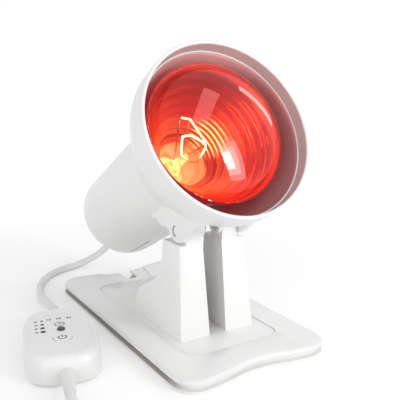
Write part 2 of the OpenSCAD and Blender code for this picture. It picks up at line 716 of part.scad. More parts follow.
// Route of the filament, across, down from the bulb's axis and back from the lip: each bend
// hangs on a support
fil_route = [[-8, -21, 41], [-1.5, -19.5, 41], [5.5, -4.5, 42], [6, 0.5, 42.5], [-3.5, 10.5, 43],
  [-8.5, 9.5, 44], [-13.5, 4, 44.5], [-9, -9, 44.5], [-2, -9.5, 45], [8.5, -3.5, 46.5]];
wire_r = 0.6;
fil_bend = 1.6;
fil_last = len(fil_route) - 1;
// The route with each bend softened to a short curve
fil_path = concat([fil_route[0]], [for (i = [1 : fil_last - 1])
  let (p = fil_route[i], a = p + fil_bend * unit(fil_route[i - 1] - p), b = p + fil_bend * unit(fil_route[i + 1] - p))
  each [a, (a + b) / 4 + p / 2, b]], [fil_route[fil_last]]);

module wire(p, r) color("gold") for (i = [0 : len(p) - 2]) let (v = p[i + 1] - p[i])
  translate(p[i]) rotate([0, acos(v[2] / norm(v)), atan2(v[1], v[0])]) cylinder(r = r, h = norm(v), $fn = 16);

module filament() color("orange") bulb_axis()
  skin(tube(fil_path, wire_r, 6, unit(fil_path[1] - fil_path[0]), unit(fil_route[fil_last] - fil_route[fil_last - 1])));

module lead_wires() color("gray") bulb_axis() for (i = [0, fil_last]) {
  top = fil_route[i] + [sign(fil_route[i][0]) * 1.4, 0.8, 0.8];
  foot = [sign(top[0]) * 3, -3.2, stem_top + 10];
  wire([top, foot], 0.7);
}

module filament_supports() color("gray") bulb_axis() for (i = [1, 3, 4, 6, 7, 8]) {
  top = fil_route[i] + [0, 0, 1.2 * wire_r + 0.3];
  foot = 3.35 * unit([top[0], top[1]]);
  wire([top, [foot[0], foot[1], stem_top + 4]], 0.35);
}

// ---- Socket and wiring in the tail ----

module socket_body() color("ivory") bulb_axis() difference() {
  translate([0, 0, socket_front]) cylinder(r = socket_r, h = socket_len);
  translate([0, 0, socket_front - cut]) cylinder(r = socket_bore, h = cap_back + 5 - socket_front + cut);
  translate([0, 0, socket_front - cut]) cylinder(r = bulb_neck_r + 1, h = cut + 1.5);
  for (x = [-1, 1]) translate([x * 9, 0, socket_back - 6]) cylinder(r = screw_r, h = 7);
}

module socket_shell() color("goldenrod") bulb_axis() difference() {
  translate([0, 0, socket_front + 3]) cylinder(r = socket_bore, h = cap_len - 6);
  translate([0, 0, socket_front + 3 - cut]) cylinder(r = socket_bore - 0.6, h = cap_len);
}

module centre_contact() color("goldenrod") bulb_axis() translate([0, 0, cap_back + 4.4])
  cylinder(r = 3, h = 0.6);

module socket_plate() color("silver") bulb_axis() difference() {
  translate([0, 0, socket_back]) linear_extrude(mount_plate_t) union() {
    circle(socket_r);
    square([2 * column_x, 2 * column_r], center = true);
    for (x = [-1, 1]) translate([x * column_x, 0]) circle(column_r);
  }
  for (x = [-1, 1]) {
    translate([x * 9, 0, socket_back - cut]) cylinder(r = screw_r, h = 5);
    translate([x * column_x, 0, socket_back - cut]) cylinder(r = 1.4, h = 5);
    translate([x * 9, -9, socket_back - cut]) cylinder(r = 2.4, h = 5);
  }
}

module socket_screws() color("silver") bulb_axis() for (x = [-1, 1]) {
  translate([x * 9, 0, plate_back]) {
    cylinder(r = screw_head_r, h = 1.6);
    translate([0, 0, -6]) cylinder(r = screw_r, h = 6.5);
  }
  translate([x * column_x, 0, socket_back]) {
    translate([0, 0, -1.6]) cylinder(r = screw_head_r, h = 1.6);
    cylinder(r = 1.3, h = 10);
  }
}

gland_r = 5.2;

module head_relief() color("gainsboro") head() translate([exit_x, exit_drop, tail_end - tail_wall])
  rotate_extrude() polygon(concat(
    [[0, -2], [gland_r + 1.8, -2], [gland_r + 1.8, 0], [gland_r - 0.05, 0],
      [gland_r - 0.05, tail_wall], [gland_r + 1.2, tail_wall], [gland_r + 1.2, tail_wall + 1.6]],
    [for (i = [0 : 5], e = [0, 1]) let (z = tail_wall + 2.4 + 4.2 * i + 2.1 * e)
      [cord_r + 2.2 - 0.28 * i - 0.45 * e, z]],
    [[cord_r + 0.5, tail_wall + head_relief_len], [0, tail_wall + head_relief_len]]));

clamp_back = 7 + seat;

module cord_clamp() color("dimgray") head() translate([exit_x, exit_drop, tail_end - tail_wall - clamp_back]) {
  difference() {
    translate([-12, -4, 0]) cube([24, 8, 5]);
    translate([0, 0, -cut]) cylinder(r = cord_r + 0.2, h = 8);
  }
  for (x = [-1, 1]) translate([x * 9.5, 0, 4.5]) cylinder(r = 1.4, h = clamp_back - 4.5);
}

module supply_wires() color("brown") head() for (x = [-1, 1]) {
  start = [exit_x + 1.2 * x, exit_drop, tail_end - tail_wall - 2.1];
  middle = [exit_x + 1.2 * x, exit_drop, tail_end - 12];
  bend = [9 * x, -4 - bulb_lift, plate_back + 12];
  foot = [9 * x, -9 - bulb_lift, socket_back + 0.6];
  route = [for (i = [0 : 12]) bez([start, middle - [0, 0, 18], bend + [0, 0, 4], foot], i / 12)];
  skin(tube(route, 0.9, 8, unit([0, -0.1, -1]), unit([0, -0.1, -1])));
}

// ---- Controller: local y along it, away from the camera side ----

module controller() translate([ctrl_x, ctrl_y, 0]) rotate(ctrl_turn) children();

// Barrel-sided rounded outline, set in by g
function ctrl_ring(g, z) = [for (i = [0 : ctrl_sides - 1]) let (a = 360 * i / ctrl_sides,
    c = cos(a), s = sin(a), p = 2 / ctrl_corner)
  [(ctrl_w / 2 - g) * sign(c) * pow(abs(c), p), (ctrl_l / 2 - g) * sign(s) * pow(abs(s), p), z]];
edge_r = 6;
// Ring at angle a round the rounded upper edge, w inside it
function round_ring(a, w) = ctrl_ring(edge_r - (edge_r - w) * cos(a), ctrl_h - edge_r + (edge_r - w) * sin(a));

module relief_bores() for (s = [-1, 1]) translate([0, s * ctrl_l / 2, relief_z])
  rotate([90, 0, 0]) cylinder(r = relief_body_r, h = 12, center = true);

ctrl_screw_at = [for (x = [-1, 1], y = [-1, 1]) [x * 15, y * 27]];

module controller_base() color("whitesmoke") controller() difference() {
  union() {
    skin([ctrl_ring(2.2, 0), ctrl_ring(0.8, 0.8), ctrl_ring(0, 2.4), ctrl_ring(0, ctrl_seam),
      ctrl_ring(ctrl_wall, ctrl_seam), ctrl_ring(ctrl_wall, ctrl_wall)]);
    for (p = ctrl_screw_at) translate([p[0], p[1], ctrl_wall - 0.5]) cylinder(r = 3.4, h = board_z - ctrl_wall + 0.5);
  }
  for (p = ctrl_screw_at) translate([p[0], p[1], -cut]) {
    cylinder(r = screw_head_r - 0.4, h = 2 + cut);
    cylinder(r = 1.25, h = board_z + 2 * cut);
  }
  relief_bores();
}

module controller_cover() color("white") controller() difference() {
  union() {
    skin([for (a = [90 : -30 : 0]) round_ring(a, ctrl_wall), ctrl_ring(ctrl_wall, ctrl_seam),
      ctrl_ring(0, ctrl_seam), for (a = [0 : 18 : 90]) round_ring(a, 0)]);
    for (p = ctrl_screw_at) translate([p[0], p[1], board_z + board_t]) cylinder(r = 2.6, h = ctrl_h - board_z - board_t - 1.5);
  }
  for (p = ctrl_screw_at) translate([p[0], p[1], 0]) cylinder(r = 1, h = ctrl_h - 4);
  translate(power_at) cylinder(r = power_r + button_gap, h = ctrl_h + cut);
  translate(timer_at) cylinder(r = timer_r + button_gap, h = ctrl_h + cut);
  for (p = light_at) translate(p) cylinder(r = light_r + 0.05, h = ctrl_h + cut);
  relief_bores();
}

module circuit_board() color("darkgreen") controller() difference() {
  translate([0, 0, board_z]) linear_extrude(board_t) square([ctrl_w - 2 * ctrl_wall - 6, ctrl_l - 2 * ctrl_wall - 20], center = true);
  for (p = ctrl_screw_at) translate([p[0], p[1], 0]) cylinder(r = 1.4, h = ctrl_h);
}

module board_parts() color("dimgray") controller() translate([0, 0, board_z + board_t]) {
  translate([-8, -27, 0]) cube([16, 6, 7]);
  translate([7, 12, 0]) cube([8, 10, 6]);
  translate([12, 2, 0]) cylinder(r = 3.5, h = 8);
  for (p = light_at) translate([p[0] - 1.25, p[1] - 1, 0]) cube([2.5, 2, 1.5]);
}

// Push switch on the board with its plunger
module push_switch(at) color("black") controller() translate([at[0], at[1], board_z + board_t]) {
  translate([-3, -3, 0]) cube([6, 6, switch_h]);
  cylinder(r = 1.7, h = switch_h + 0.8);
}

module power_switch() push_switch(power_at);
module timer_switch() push_switch(timer_at);

plunger_z = board_z + board_t + switch_h + 0.8;

// Button: a crowned cap and a stem down to its switch
module button(at, r, proud) controller() translate([at[0], at[1], 0]) {
  translate([0, 0, ctrl_h - ctrl_top_wall - 0.6]) cylinder(r = r, h = ctrl_top_wall + 0.6 + proud);
  translate([0, 0, plunger_z + button_travel + 0.2])
    cylinder(r = min(r, 2), h = ctrl_h - ctrl_top_wall - 0.5 - plunger_z - button_travel);
}

module power_button() color("white") button(power_at, power_r, 0.5);
module timer_button() color("black") button(timer_at, timer_r, 0.9);

module light_pipes() color("lightgreen") controller() for (p = light_at)
  translate([p[0], p[1], board_z + board_t + 1.5]) cylinder(r = light_r, h = ctrl_h - board_z - board_t - 1.7);

module controller_screws() color("silver") controller() for (p = ctrl_screw_at)
  translate([p[0], p[1], 0.7]) {
    cylinder(r = screw_head_r - 0.6, h = 1.3);
    cylinder(r = 1, h = board_z + 6);
  }

relief_body_r = 4.4;

// Tapered strain relief on an end of the controller, s = 1 for the upper end
module ctrl_relief(s) color("gainsboro") controller() translate([0, s * ctrl_l / 2, relief_z])
  rotate([-90 * s, 0, 0]) rotate_extrude() polygon([[0, -4], [relief_body_r + 1, -4],
    [relief_body_r + 1, -ctrl_wall - 0.2], [relief_body_r - 0.05, -ctrl_wall - 0.2],
    [relief_body_r - 0.05, 1], [cord_r + 0.4, ctrl_relief_len], [0, ctrl_relief_len]]);

module relief_upper() ctrl_relief(1);
module relief_lower() ctrl_relief(-1);

// ---- Cord ----

ctrl_up = [-sin(ctrl_turn), cos(ctrl_turn), 0];

module cord_drop() color("white")
  skin(tube(drop_route, cord_r, 8, head_back, unit(run_route[1] - run_route[0])));
module cord_run() color("white")
  skin(tube(run_route, cord_r, 8, unit(run_route[1] - run_route[0]), -ctrl_up));
module cord_lead() color("white") skin(tube(lead_route, cord_r, 8, -ctrl_up, [0, -1, 0]));

// Turn t of the coil runs clockwise: in on the lower layer, a climb over half a turn, out above
function smooth(t) = t <= 0 ? 0 : t >= 1 ? 1 : t * t * (3 - 2 * t);
function coil_point(t) = let (r = coil_r - coil_pitch * min(t, coil_turns - t))
  [coil_mid[0] + r * cos(360 * t), coil_mid[1] - r * sin(360 * t),
    coil_z + coil_rise * smooth((t - coil_turns / 2) * 2 + 0.5)];
coil_start = coil_point(0);
coil_stop = coil_point(coil_turns);
coil_path = concat([coil_start + [0, cord_d, 0]],
  [for (i = [0 : coil_turns * loop_rings]) coil_point(i / loop_rings)],
  [coil_stop + [0, cord_d, 0]]);

// Least gap of the coil to itself, over points at least half a turn apart
coil_gap = min([for (i = [0 : len(coil_path) - 1], j = [i + loop_rings / 2 : 1 : len(coil_path) - 1])
  norm(coil_path[i] - coil_path[j])]) - cord_d;
echo(least_gap_of_the_coil = coil_gap);

module cord_coil() color("white") skin(tube(coil_path, cord_r, coil_sides, [0, -1, 0], [0, 1, 0]));

// From the coil's upper layer down to the plug's strain relief
plug_start = [plug_x, coil_mid[1] + cord_d + 34, plug_h / 2];
end_route = [coil_stop + [0, cord_d, 0], coil_stop + [0, cord_d + 12, -0.5],
  coil_stop + [0, cord_d + 23, -1.5], plug_start];

module cord_end() color("white") skin(tube(end_route, cord_r, 8, [0, 1, 0], [0, 1, 0]));

// The tie goes round the bundle where the turns number a quarter less
tie_turns = coil_turns / 2 - 0.75;

module cord_tie() color("black")
  translate([coil_mid[0], coil_mid[1] + coil_r - coil_pitch * (0.75 + tie_turns / 2), 0])
  rotate([90, 0, 90]) translate([0, 0, -tie_w / 2]) linear_extrude(tie_w) difference() {
    tie_outline(tie_t);
    tie_outline(0);
  }

// Inside of the tie's loop round the bundle, grown by g
module tie_outline(g) {
  half = coil_pitch * tie_turns / 2 + cord_r + 0.5 + g;
  bottom = tie_t + 0.05 - g;
  top = coil_z + coil_rise + cord_r + 0.3 + g;
  hull() for (x = [-1, 1]) translate([x * (half - 3), 0]) {
    translate([0, bottom + 3]) circle(3, $fn = 32);
    translate([0, top - 3]) circle(3, $fn = 32);
  }
}

module plug_body() color("white") translate([plug_x, plug_start[1], plug_h / 2]) {
  rotate([-90, 0, 0]) cylinder(r1 = cord_r + 0.4, r2 = 5, h = plug_relief_len);
  translate([0, plug_relief_len, 0]) rotate([-90, 0, 0]) linear_extrude(plug_l) union() {
    square([plug_w - plug_h, plug_h], center = true);
    for (x = [-1, 1]) translate([x * (plug_w - plug_h) / 2, 0]) circle(plug_h / 2);
  }
}

module plug_pins() color("gold") for (x = [-1, 1])
  translate([plug_x + x * 6.35 - 0.75, plug_start[1] + plug_relief_len + plug_l, plug_h / 2 - 3.2])
    cube([1.5, pin_len, 6.4]);

base_cover();
base_tray();
ballast_plate();
foot_pads();
base_screws();
foot_panel();
leg_left();
leg_right();
leg_screws();
pivot_bolts();
pivot_nuts();
friction_washers();
shade();
heat_shield();
tail_housing();
tilt_bracket();
bracket_screws();
pivot_caps();
socket_body();
socket_shell();
centre_contact();
socket_plate();
socket_screws();
bulb_lens();
bulb_reflector();
bulb_cap();
cap_insulator();
cap_contact();
glass_stem();
lead_wires();
filament();
filament_supports();
cord_clamp();
supply_wires();
head_relief();
controller_base();
controller_cover();
circuit_board();
board_parts();
power_switch();
timer_switch();
light_pipes();
controller_screws();
power_button();
timer_button();
relief_upper();
relief_lower();
cord_drop();
cord_run();
cord_lead();
cord_coil();
cord_end();
cord_tie();
plug_body();
plug_pins();
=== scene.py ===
import json
import math

import bmesh
import bpy
from bpy.props import FloatProperty, FloatVectorProperty, IntProperty, PointerProperty
from mathutils import Matrix, Vector


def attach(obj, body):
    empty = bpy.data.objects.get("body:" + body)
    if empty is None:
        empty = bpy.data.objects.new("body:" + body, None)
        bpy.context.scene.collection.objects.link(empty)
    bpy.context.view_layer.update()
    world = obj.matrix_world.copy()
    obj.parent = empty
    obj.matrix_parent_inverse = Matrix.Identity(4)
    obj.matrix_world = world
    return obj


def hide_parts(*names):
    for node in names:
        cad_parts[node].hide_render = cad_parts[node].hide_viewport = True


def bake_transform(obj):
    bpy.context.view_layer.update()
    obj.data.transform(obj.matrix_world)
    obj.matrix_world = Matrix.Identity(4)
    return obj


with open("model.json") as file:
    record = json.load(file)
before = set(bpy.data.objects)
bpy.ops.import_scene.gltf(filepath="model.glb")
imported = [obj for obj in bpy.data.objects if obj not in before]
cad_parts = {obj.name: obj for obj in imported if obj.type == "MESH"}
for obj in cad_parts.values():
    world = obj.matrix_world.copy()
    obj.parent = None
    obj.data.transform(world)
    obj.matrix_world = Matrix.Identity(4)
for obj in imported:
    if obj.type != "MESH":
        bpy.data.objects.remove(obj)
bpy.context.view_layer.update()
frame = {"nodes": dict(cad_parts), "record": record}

bl_info = {
    "name": "Infrared heat lamp",
    "version": (1, 0, 0),
    "blender": (4, 5, 0),
    "location": "View3D > Sidebar > Heat lamp",
    "description": "Dresses a tilting infrared heat lamp with its finishes, markings, cord and studio",
    "category": "Object",
}

SLOTS = {part["node"]: part["material_slot"] for part in frame["record"]["subparts"]}
MM = 0.001

# The head's own directions at rest: across, down from its axis and back from its lip
TILT = math.radians(29)
ACROSS = Vector((1, 0, 0))
BACK = Vector((0, math.cos(TILT), -math.sin(TILT)))
DOWN = Vector((0, -math.sin(TILT), -math.cos(TILT)))
# The pivot in millimetres: its place, and how far it lies below the head's axis and behind the lip
PIVOT = Vector((0, -39.5, 81.0))
PIVOT_DOWN = 48.4
PIVOT_BACK = 57.8
# The controller in millimetres: its middle, and the heights of its top and of its power button's top
CONTROLLER_X, CONTROLLER_Y = -98, -14
CONTROLLER_TURN = math.radians(-15)
CONTROLLER_TOP = 19.0
BUTTON_TOP = 19.5


def in_head(x, down, back):
    """A point of the head in the row frame, from millimetres across, down and back."""
    return (PIVOT + x * ACROSS + (down - PIVOT_DOWN) * DOWN + (back - PIVOT_BACK) * BACK) * MM


def lathe_place(point, lift):
    """Radius and distance back, in millimetres, of a point turned round an axis lift above the head's."""
    local = Vector(point) / MM - PIVOT
    down, back = local.dot(DOWN) + PIVOT_DOWN + lift, local.dot(BACK) + PIVOT_BACK
    return math.hypot(local.x, down), back


def on_controller(x, y, z):
    """A point of the controller in the row frame, from millimetres on its own face."""
    c, s = math.cos(CONTROLLER_TURN), math.sin(CONTROLLER_TURN)
    return Vector((CONTROLLER_X + c * x - s * y, CONTROLLER_Y + s * x + c * y, z)) * MM


# ---------------------------------------------------------------- settings


def power_setting(name, description, default):
    """Power of a studio lamp."""
    return FloatProperty(
        name=name, description=description, default=default, min=0, max=40, unit="POWER")


def colour_setting(name, description, default):
    """Colour of a surface."""
    return FloatVectorProperty(
        name=name, description=description, default=default, subtype="COLOR", min=0, max=1)


class CameraSettings(bpy.types.PropertyGroup):
    """Where the camera stands and how it looks."""

    place: FloatVectorProperty(
        name="Place", description="Where the camera stands", subtype="TRANSLATION", unit="LENGTH",
        default=(-0.22358, -0.38918, 0.19425))
    ahead: FloatVectorProperty(
        name="Ahead", description="Direction that the camera looks in", subtype="DIRECTION",
        default=(0.5147, 0.8276, -0.2233))
    lens: FloatProperty(
        name="Lens", description="Focal length on a 36 mm sensor", default=56.97,
        min=20, max=120, unit="CAMERA")


class StudioSettings(bpy.types.PropertyGroup):
    """Light on the lamp and on what it stands on."""

    sky: FloatProperty(
        name="Sky", description="Strength of the even light all round", default=0.68, min=0, max=2)
    front: power_setting("Front box", "Power of the tall soft lamp at the front right", 1.7)
    side: power_setting("Side box", "Power of the narrow soft lamp on the right", 0.8)
    top: power_setting("Top box", "Power of the soft lamp overhead", 0.9)
    spark: power_setting("Spark", "Power of the small round lamp that the bulb mirrors", 0.9)
    halo: power_setting("Halo", "Power of each panel behind the spark, which only gloss mirrors", 1.9)
    fill: power_setting("Fill", "Power of the wide soft lamp low on the left", 2.4)
    floor: colour_setting("Floor", "Colour of the floor", (0.86, 0.86, 0.86))


class CordSettings(bpy.types.PropertyGroup):
    """Size of the mains cord."""

    diameter: FloatProperty(
        name="Diameter", description="Diameter of the cord", default=0.006,
        min=0.004, max=0.008, unit="LENGTH")
    sides: IntProperty(
        name="Sides", description="Sides of the cord's round section", default=16, min=8, max=32)


class FinishSettings(bpy.types.PropertyGroup):
    """Colours of the lamp's finishes."""

    white: colour_setting("White plastic", "Colour of the housing", (0.88, 0.878, 0.872))
    # The tray's dark grey stands partly for painted shade in the recess under the cover
    tray: colour_setting("Tray", "Colour of the grey lower part of the base", (0.50, 0.47, 0.43))
    # The inside of the shade is darker and pinker than its white plastic: painted shade and painted red
    # glow of the bulb
    lining_painted_shade_and_glow: colour_setting("Lining", "Colour of the inside of the shade", (0.56, 0.48, 0.48))
    sheath: colour_setting("Cord sheath", "Colour of the cord", (0.80, 0.80, 0.79))
    ruby: colour_setting("Ruby glass", "Colour of the bulb's face", (0.94, 0.30, 0.26))
    glow: FloatProperty(
        name="Glow", description="Strength of the glowing filament", default=15, min=0, max=200)
    ink: colour_setting("Ink", "Colour of the printed marks", (0.03, 0.03, 0.032))


SETTINGS = {
    "lamp_camera": CameraSettings,
    "lamp_studio": StudioSettings,
    "lamp_cord": CordSettings,
    "lamp_finish": FinishSettings,
}


# ---------------------------------------------------------------- shader expressions


class Value:
    """A socket of a finish. Sums on it add Math nodes to the finish."""

    def __init__(self, finish, socket):
        self.finish, self.socket = finish, socket

    def math(self, operation, *values):
        n = self.finish.node("ShaderNodeMath", {"operation": operation}, dict(enumerate(values)))
        return Value(self.finish, n.outputs[0])

    def __add__(self, other):
        return self.math("ADD", self, other)

    def __sub__(self, other):
        return self.math("SUBTRACT", self, other)

    def __rsub__(self, other):
        return self.math("SUBTRACT", other, self)

    def __mul__(self, other):
        return self.math("MULTIPLY", self, other)

    def __truediv__(self, other):
        return self.math("DIVIDE", self, other)

    def __rtruediv__(self, other):
        return self.math("DIVIDE", other, self)

    def __lt__(self, other):
        return self.math("LESS_THAN", self, other)

    def __gt__(self, other):
        return self.math("GREATER_THAN", self, other)

    __radd__ = __add__
    __rmul__ = __mul__

    def sine(self):
        return self.math("SINE", self)

    def step(self, low, high):
        """0 at low, 1 at high and smooth between them."""
        n = self.finish.node(
            "ShaderNodeMapRange", {"interpolation_type": "SMOOTHSTEP"},
            {"Value": self, "From Min": low, "From Max": high})
        return Value(self.finish, n.outputs["Result"])


class Finish:
    """A material whose surface comes from one Principled BSDF."""

    def __init__(self, name, **sockets):
        self.material = bpy.data.materials.new(name)
        self.material.use_nodes = True
        self.tree = self.material.node_tree
        self.tree.nodes.clear()
        self.out = self.node("ShaderNodeOutputMaterial")
        self.surface = self.node("ShaderNodeBsdfPrincipled")
        self.set(**sockets)
        self.tree.links.new(self.surface.outputs[0], self.out.inputs["Surface"])

    def node(self, kind, settings=None, sockets=None):
        """A new node with its settings, its colour ramp's stops, and its sockets."""
        n = self.tree.nodes.new(kind)
        for key, value in (settings or {}).items():
            if key == "stops":
                ramp = n.color_ramp
                while len(ramp.elements) < len(value):
                    ramp.elements.new(0.5)
                for element, (place, colour) in zip(ramp.elements, value):
                    element.position, element.color = place, (*colour, 1)
            else:
                setattr(n, key, value)
        for key, value in (sockets or {}).items():
            self.put(n.inputs[key], value)
        return n

    def put(self, socket, value):
        """Links a value to a socket, or sets a constant on it."""
        if isinstance(value, Value):
            self.tree.links.new(value.socket, socket)
        elif socket.type == "RGBA" and len(value) == 3:
            socket.default_value = (*value, 1)
        else:
            socket.default_value = value

    def value(self, kind, output, settings=None, sockets=None):
        """One output of a new node."""
        return Value(self, self.node(kind, settings, sockets).outputs[output])

    def vector(self, operation, *values, output="Vector", **sockets):
        """Vector arithmetic on values."""
        inputs = {**dict(enumerate(values)), **sockets}
        return self.value("ShaderNodeVectorMath", output, {"operation": operation}, inputs)

    def set(self, **sockets):
        """Sets sockets of the surface, with _ for a space in their names."""
        for name, value in sockets.items():
            self.put(self.surface.inputs[name.replace("_", " ")], value)

    def place(self):
        """Place on the piece in the row frame at rest."""
        return self.value("ShaderNodeTexCoord", "Object")

    def facing(self, direction):
        """How far the surface faces along a direction."""
        normal = self.value("ShaderNodeTexCoord", "Normal")
        return self.vector("DOT_PRODUCT", normal, direction, output="Value")

    def noise(self, scale, detail=3.0, rough=0.55, at=None):
        return self.value(
            "ShaderNodeTexNoise", "Fac", {},
            {"Vector": at or self.place(), "Scale": scale, "Detail": detail, "Roughness": rough})

    def mix(self, factor, a, b):
        """Colour a where factor is 0 and b where it is 1."""
        n = self.node("ShaderNodeMix", {"data_type": "RGBA"})
        for index, value in ((0, factor), (6, a), (7, b)):
            self.put(n.inputs[index], value)
        return Value(self, n.outputs[2])

    def along(self, direction, origin=(0, 0, 0)):
        """How far the place lies from origin along a direction, in millimetres."""
        moved = self.vector("SUBTRACT", self.place(), tuple(origin))
        return self.vector("DOT_PRODUCT", moved, tuple(direction), output="Value") / MM

    def bump(self, height, distance, strength=1.0):
        """Raises the surface by a height, and gives the finish back."""
        self.set(Normal=self.value(
            "ShaderNodeBump", "Normal", {},
            {"Height": height, "Distance": distance, "Strength": strength}))
        return self


# Depth of the fine grain of moulded plastic, in metres
GRAIN = 0.00002


def moulded(name, colour, rough=0.34, grain=GRAIN, shade=0.035):
    """Moulded plastic: faint flow marks in the colour, an uneven gloss and a fine grain."""
    f = Finish(name, IOR=1.5)
    cloud = f.noise(9, 4)
    fine = f.noise(900, 2)
    dark = tuple(c * (1 - shade) for c in colour)
    f.set(Base_Color=f.mix(cloud.step(0.35, 0.7), dark, colour),
          Roughness=cloud * 0.10 + (rough - 0.05) + fine * 0.03)
    return f.bump(fine + f.noise(2600, 1) * 0.5, grain, 0.5)


def plastic_skin(f, colour, gloss, patches=9):
    """Gives a finish its colour with the uneven gloss and the grain of plastic."""
    f.set(Base_Color=colour, Roughness=f.noise(patches, 4) * 0.1 + gloss)
    return f.bump(f.noise(900, 2), GRAIN, 0.5)


def metal(name, colour, rough=0.3):
    """Plated or brushed metal with fine lines along one direction and light wear."""
    f = Finish(name, Metallic=1.0)
    stretched = f.value("ShaderNodeMapping", "Vector", {}, {"Vector": f.place(), "Scale": (1, 1, 12)})
    lines = f.noise(260, 3, 0.6, stretched)
    wear = f.noise(60, 4)
    dark = tuple(c * 0.72 for c in colour)
    f.set(Base_Color=f.mix(wear.step(0.3, 0.75), dark, colour), Roughness=lines * 0.16 + (rough - 0.08))
    return f.bump(lines, 0.00002, 0.4)


def rubber(name, colour, rough=0.62):
    """Rubber or soft sheath with a dusty, slightly uneven skin."""
    f = Finish(name)
    dust_and_painted_shade = f.noise(40, 5)
    pale = tuple(min(1, c + 0.035) for c in colour)
    f.set(Base_Color=f.mix(dust_and_painted_shade.step(0.45, 0.75), colour, pale), Roughness=dust_and_painted_shade * 0.12 + (rough - 0.06))
    return f.bump(f.noise(1600, 2), 0.00003, 0.5)


# ---------------------------------------------------------------- meshes


# How near, in metres, points are joined: in a piece's own mesh and in a CAD mesh
WELD = 1e-7
CAD_WELD = 1e-6
# Angles in degrees: faces of a CAD mesh are flat up to the first, and edges are sharp from the second
FLAT_UP_TO = 0.6
SHARP_FROM = 35
# Sides of what is turned round an axis
LATHE_SIDES = 160


def piece(name, verts, faces, finish, body, smooth=SHARP_FROM, parented=True):
    """A piece from its vertices and faces, with its normals outwards."""
    mesh = bpy.data.meshes.new(name)
    mesh.from_pydata([tuple(v) for v in verts], [], faces)
    work = bmesh.new()
    work.from_mesh(mesh)
    bmesh.ops.remove_doubles(work, verts=work.verts, dist=WELD)
    bmesh.ops.recalc_face_normals(work, faces=work.faces)
    work.to_mesh(mesh)
    work.free()
    return from_mesh(name, mesh, finish, body, smooth, parented)


def from_mesh(name, mesh, finish, body, smooth=SHARP_FROM, parented=True):
    """A piece from its mesh, smooth up to an angle in degrees, on its body."""
    for p in mesh.polygons:
        p.use_smooth = True
    mesh.set_sharp_from_angle(angle=math.radians(smooth))
    mesh.materials.clear()
    mesh.materials.append(finish.material)
    obj = bpy.data.objects.new(name, mesh)
    bpy.context.scene.collection.objects.link(obj)
    if parented:
        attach(obj, body)
    return obj


def evaluated_mesh(name, data, prepare):
    """Mesh of an object made from data for a moment, once prepare has set it up."""
    carrier = bpy.data.objects.new(name, data)
    bpy.context.scene.collection.objects.link(carrier)
    prepare(carrier)
    graph = bpy.context.evaluated_depsgraph_get()
    mesh = bpy.data.meshes.new_from_object(carrier.evaluated_get(graph))
    bpy.data.objects.remove(carrier)
    return mesh


def bezier(c, t):
    """Point of a cubic curve from its four control points."""
    u = 1 - t
    weights = (u ** 3, 3 * t * u ** 2, 3 * t * t * u, t ** 3)
    return [sum(w * p[i] for w, p in zip(weights, c)) for i in (0, 1)]


def inset(c, t, depth):
    """Point of a lathe curve, moved in by depth square to the curve."""
    u = 1 - t
    weights = (u ** 2, 2 * t * u, t * t)
    run = [sum(w * (b[i] - a[i]) for w, a, b in zip(weights, c, c[1:])) for i in (0, 1)]
    size = math.hypot(*run)
    r, s = bezier(c, t)
    return [r - depth * run[1] / size, s + depth * run[0] / size]


def stretch(c, steps, depth=0.0, first=0, share=1.0):
    """Points along a share of a lathe curve, moved in by depth."""
    return [inset(c, share * i / steps, depth) for i in range(first, steps + 1)]


def arc(x, y, radius, start, stop, steps):
    """Points of an arc between two angles in degrees."""
    angles = [math.radians(start + (stop - start) * i / steps) for i in range(steps + 1)]
    return [(x + radius * math.cos(a), y + radius * math.sin(a)) for a in angles]


def ring_faces(count, sides, closed):
    """Faces between rings of vertices, and from the last ring to the first if closed."""
    faces = []
    for i in range(count if closed else count - 1):
        j = (i + 1) % count
        for k in range(sides):
            m = (k + 1) % sides
            faces.append((i * sides + k, i * sides + m, j * sides + m, j * sides + k))
    return faces


def lathe(name, profile, finish, lift=0.0, smooth=SHARP_FROM, second=None, part=()):
    """A solid turned round an axis lift above the head's, from points of radius and distance back.
    The stretches of the profile between points in part get the second finish."""
    turns = [2 * math.pi * k / LATHE_SIDES for k in range(LATHE_SIDES)]
    verts = [in_head(r * math.cos(a), r * math.sin(a) - lift, s) for r, s in profile for a in turns]
    obj = piece(name, verts, ring_faces(len(profile), LATHE_SIDES, True), finish, "head", smooth)
    if second:
        obj.data.materials.append(second.material)
        near = 0.02
        for p in obj.data.polygons:
            spots = [lathe_place(obj.data.vertices[v].co, lift) for v in p.vertices]
            if all(any(abs(r - a) < near and abs(s - b) < near for a, b in part) for r, s in spots):
                p.material_index = 1
    return obj


def softened(node, width, finish, body, segments=3):
    """A CAD node with its sharp edges rounded, as a moulded piece has them."""
    work = bmesh.new()
    work.from_mesh(frame["nodes"][node].data)
    bmesh.ops.remove_doubles(work, verts=work.verts, dist=CAD_WELD)
    flat = math.radians(FLAT_UP_TO)
    bmesh.ops.dissolve_limit(work, angle_limit=flat, verts=work.verts, edges=work.edges)
    mesh = bpy.data.meshes.new(node + "_soft")
    work.to_mesh(mesh)
    work.free()

    def prepare(carrier):
        bevel = carrier.modifiers.new("Round", "BEVEL")
        bevel.width, bevel.segments, bevel.limit_method = width, segments, "ANGLE"
        bevel.angle_limit, bevel.harden_normals = math.radians(SHARP_FROM), False

    obj = from_mesh(node + "_moulded", evaluated_mesh(node + "_work", mesh, prepare), finish, body, 40)
    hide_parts(node)


def smooth_line(points, steps):
    """Points of one smooth curve through the given points."""
    full = [2 * points[0] - points[1], *points, 2 * points[-1] - points[-2]]
    line = []
    for i in range(1, len(full) - 2):
        a, b, c, d = full[i - 1:i + 3]
        for k in range(steps):
            t = k / steps
            square, cube = 2 * a - 5 * b + 4 * c - d, 3 * b - a - 3 * c + d
            line.append(0.5 * (2 * b + (c - a) * t + square * t * t + cube * t ** 3))
    line.append(points[-1])
    return line


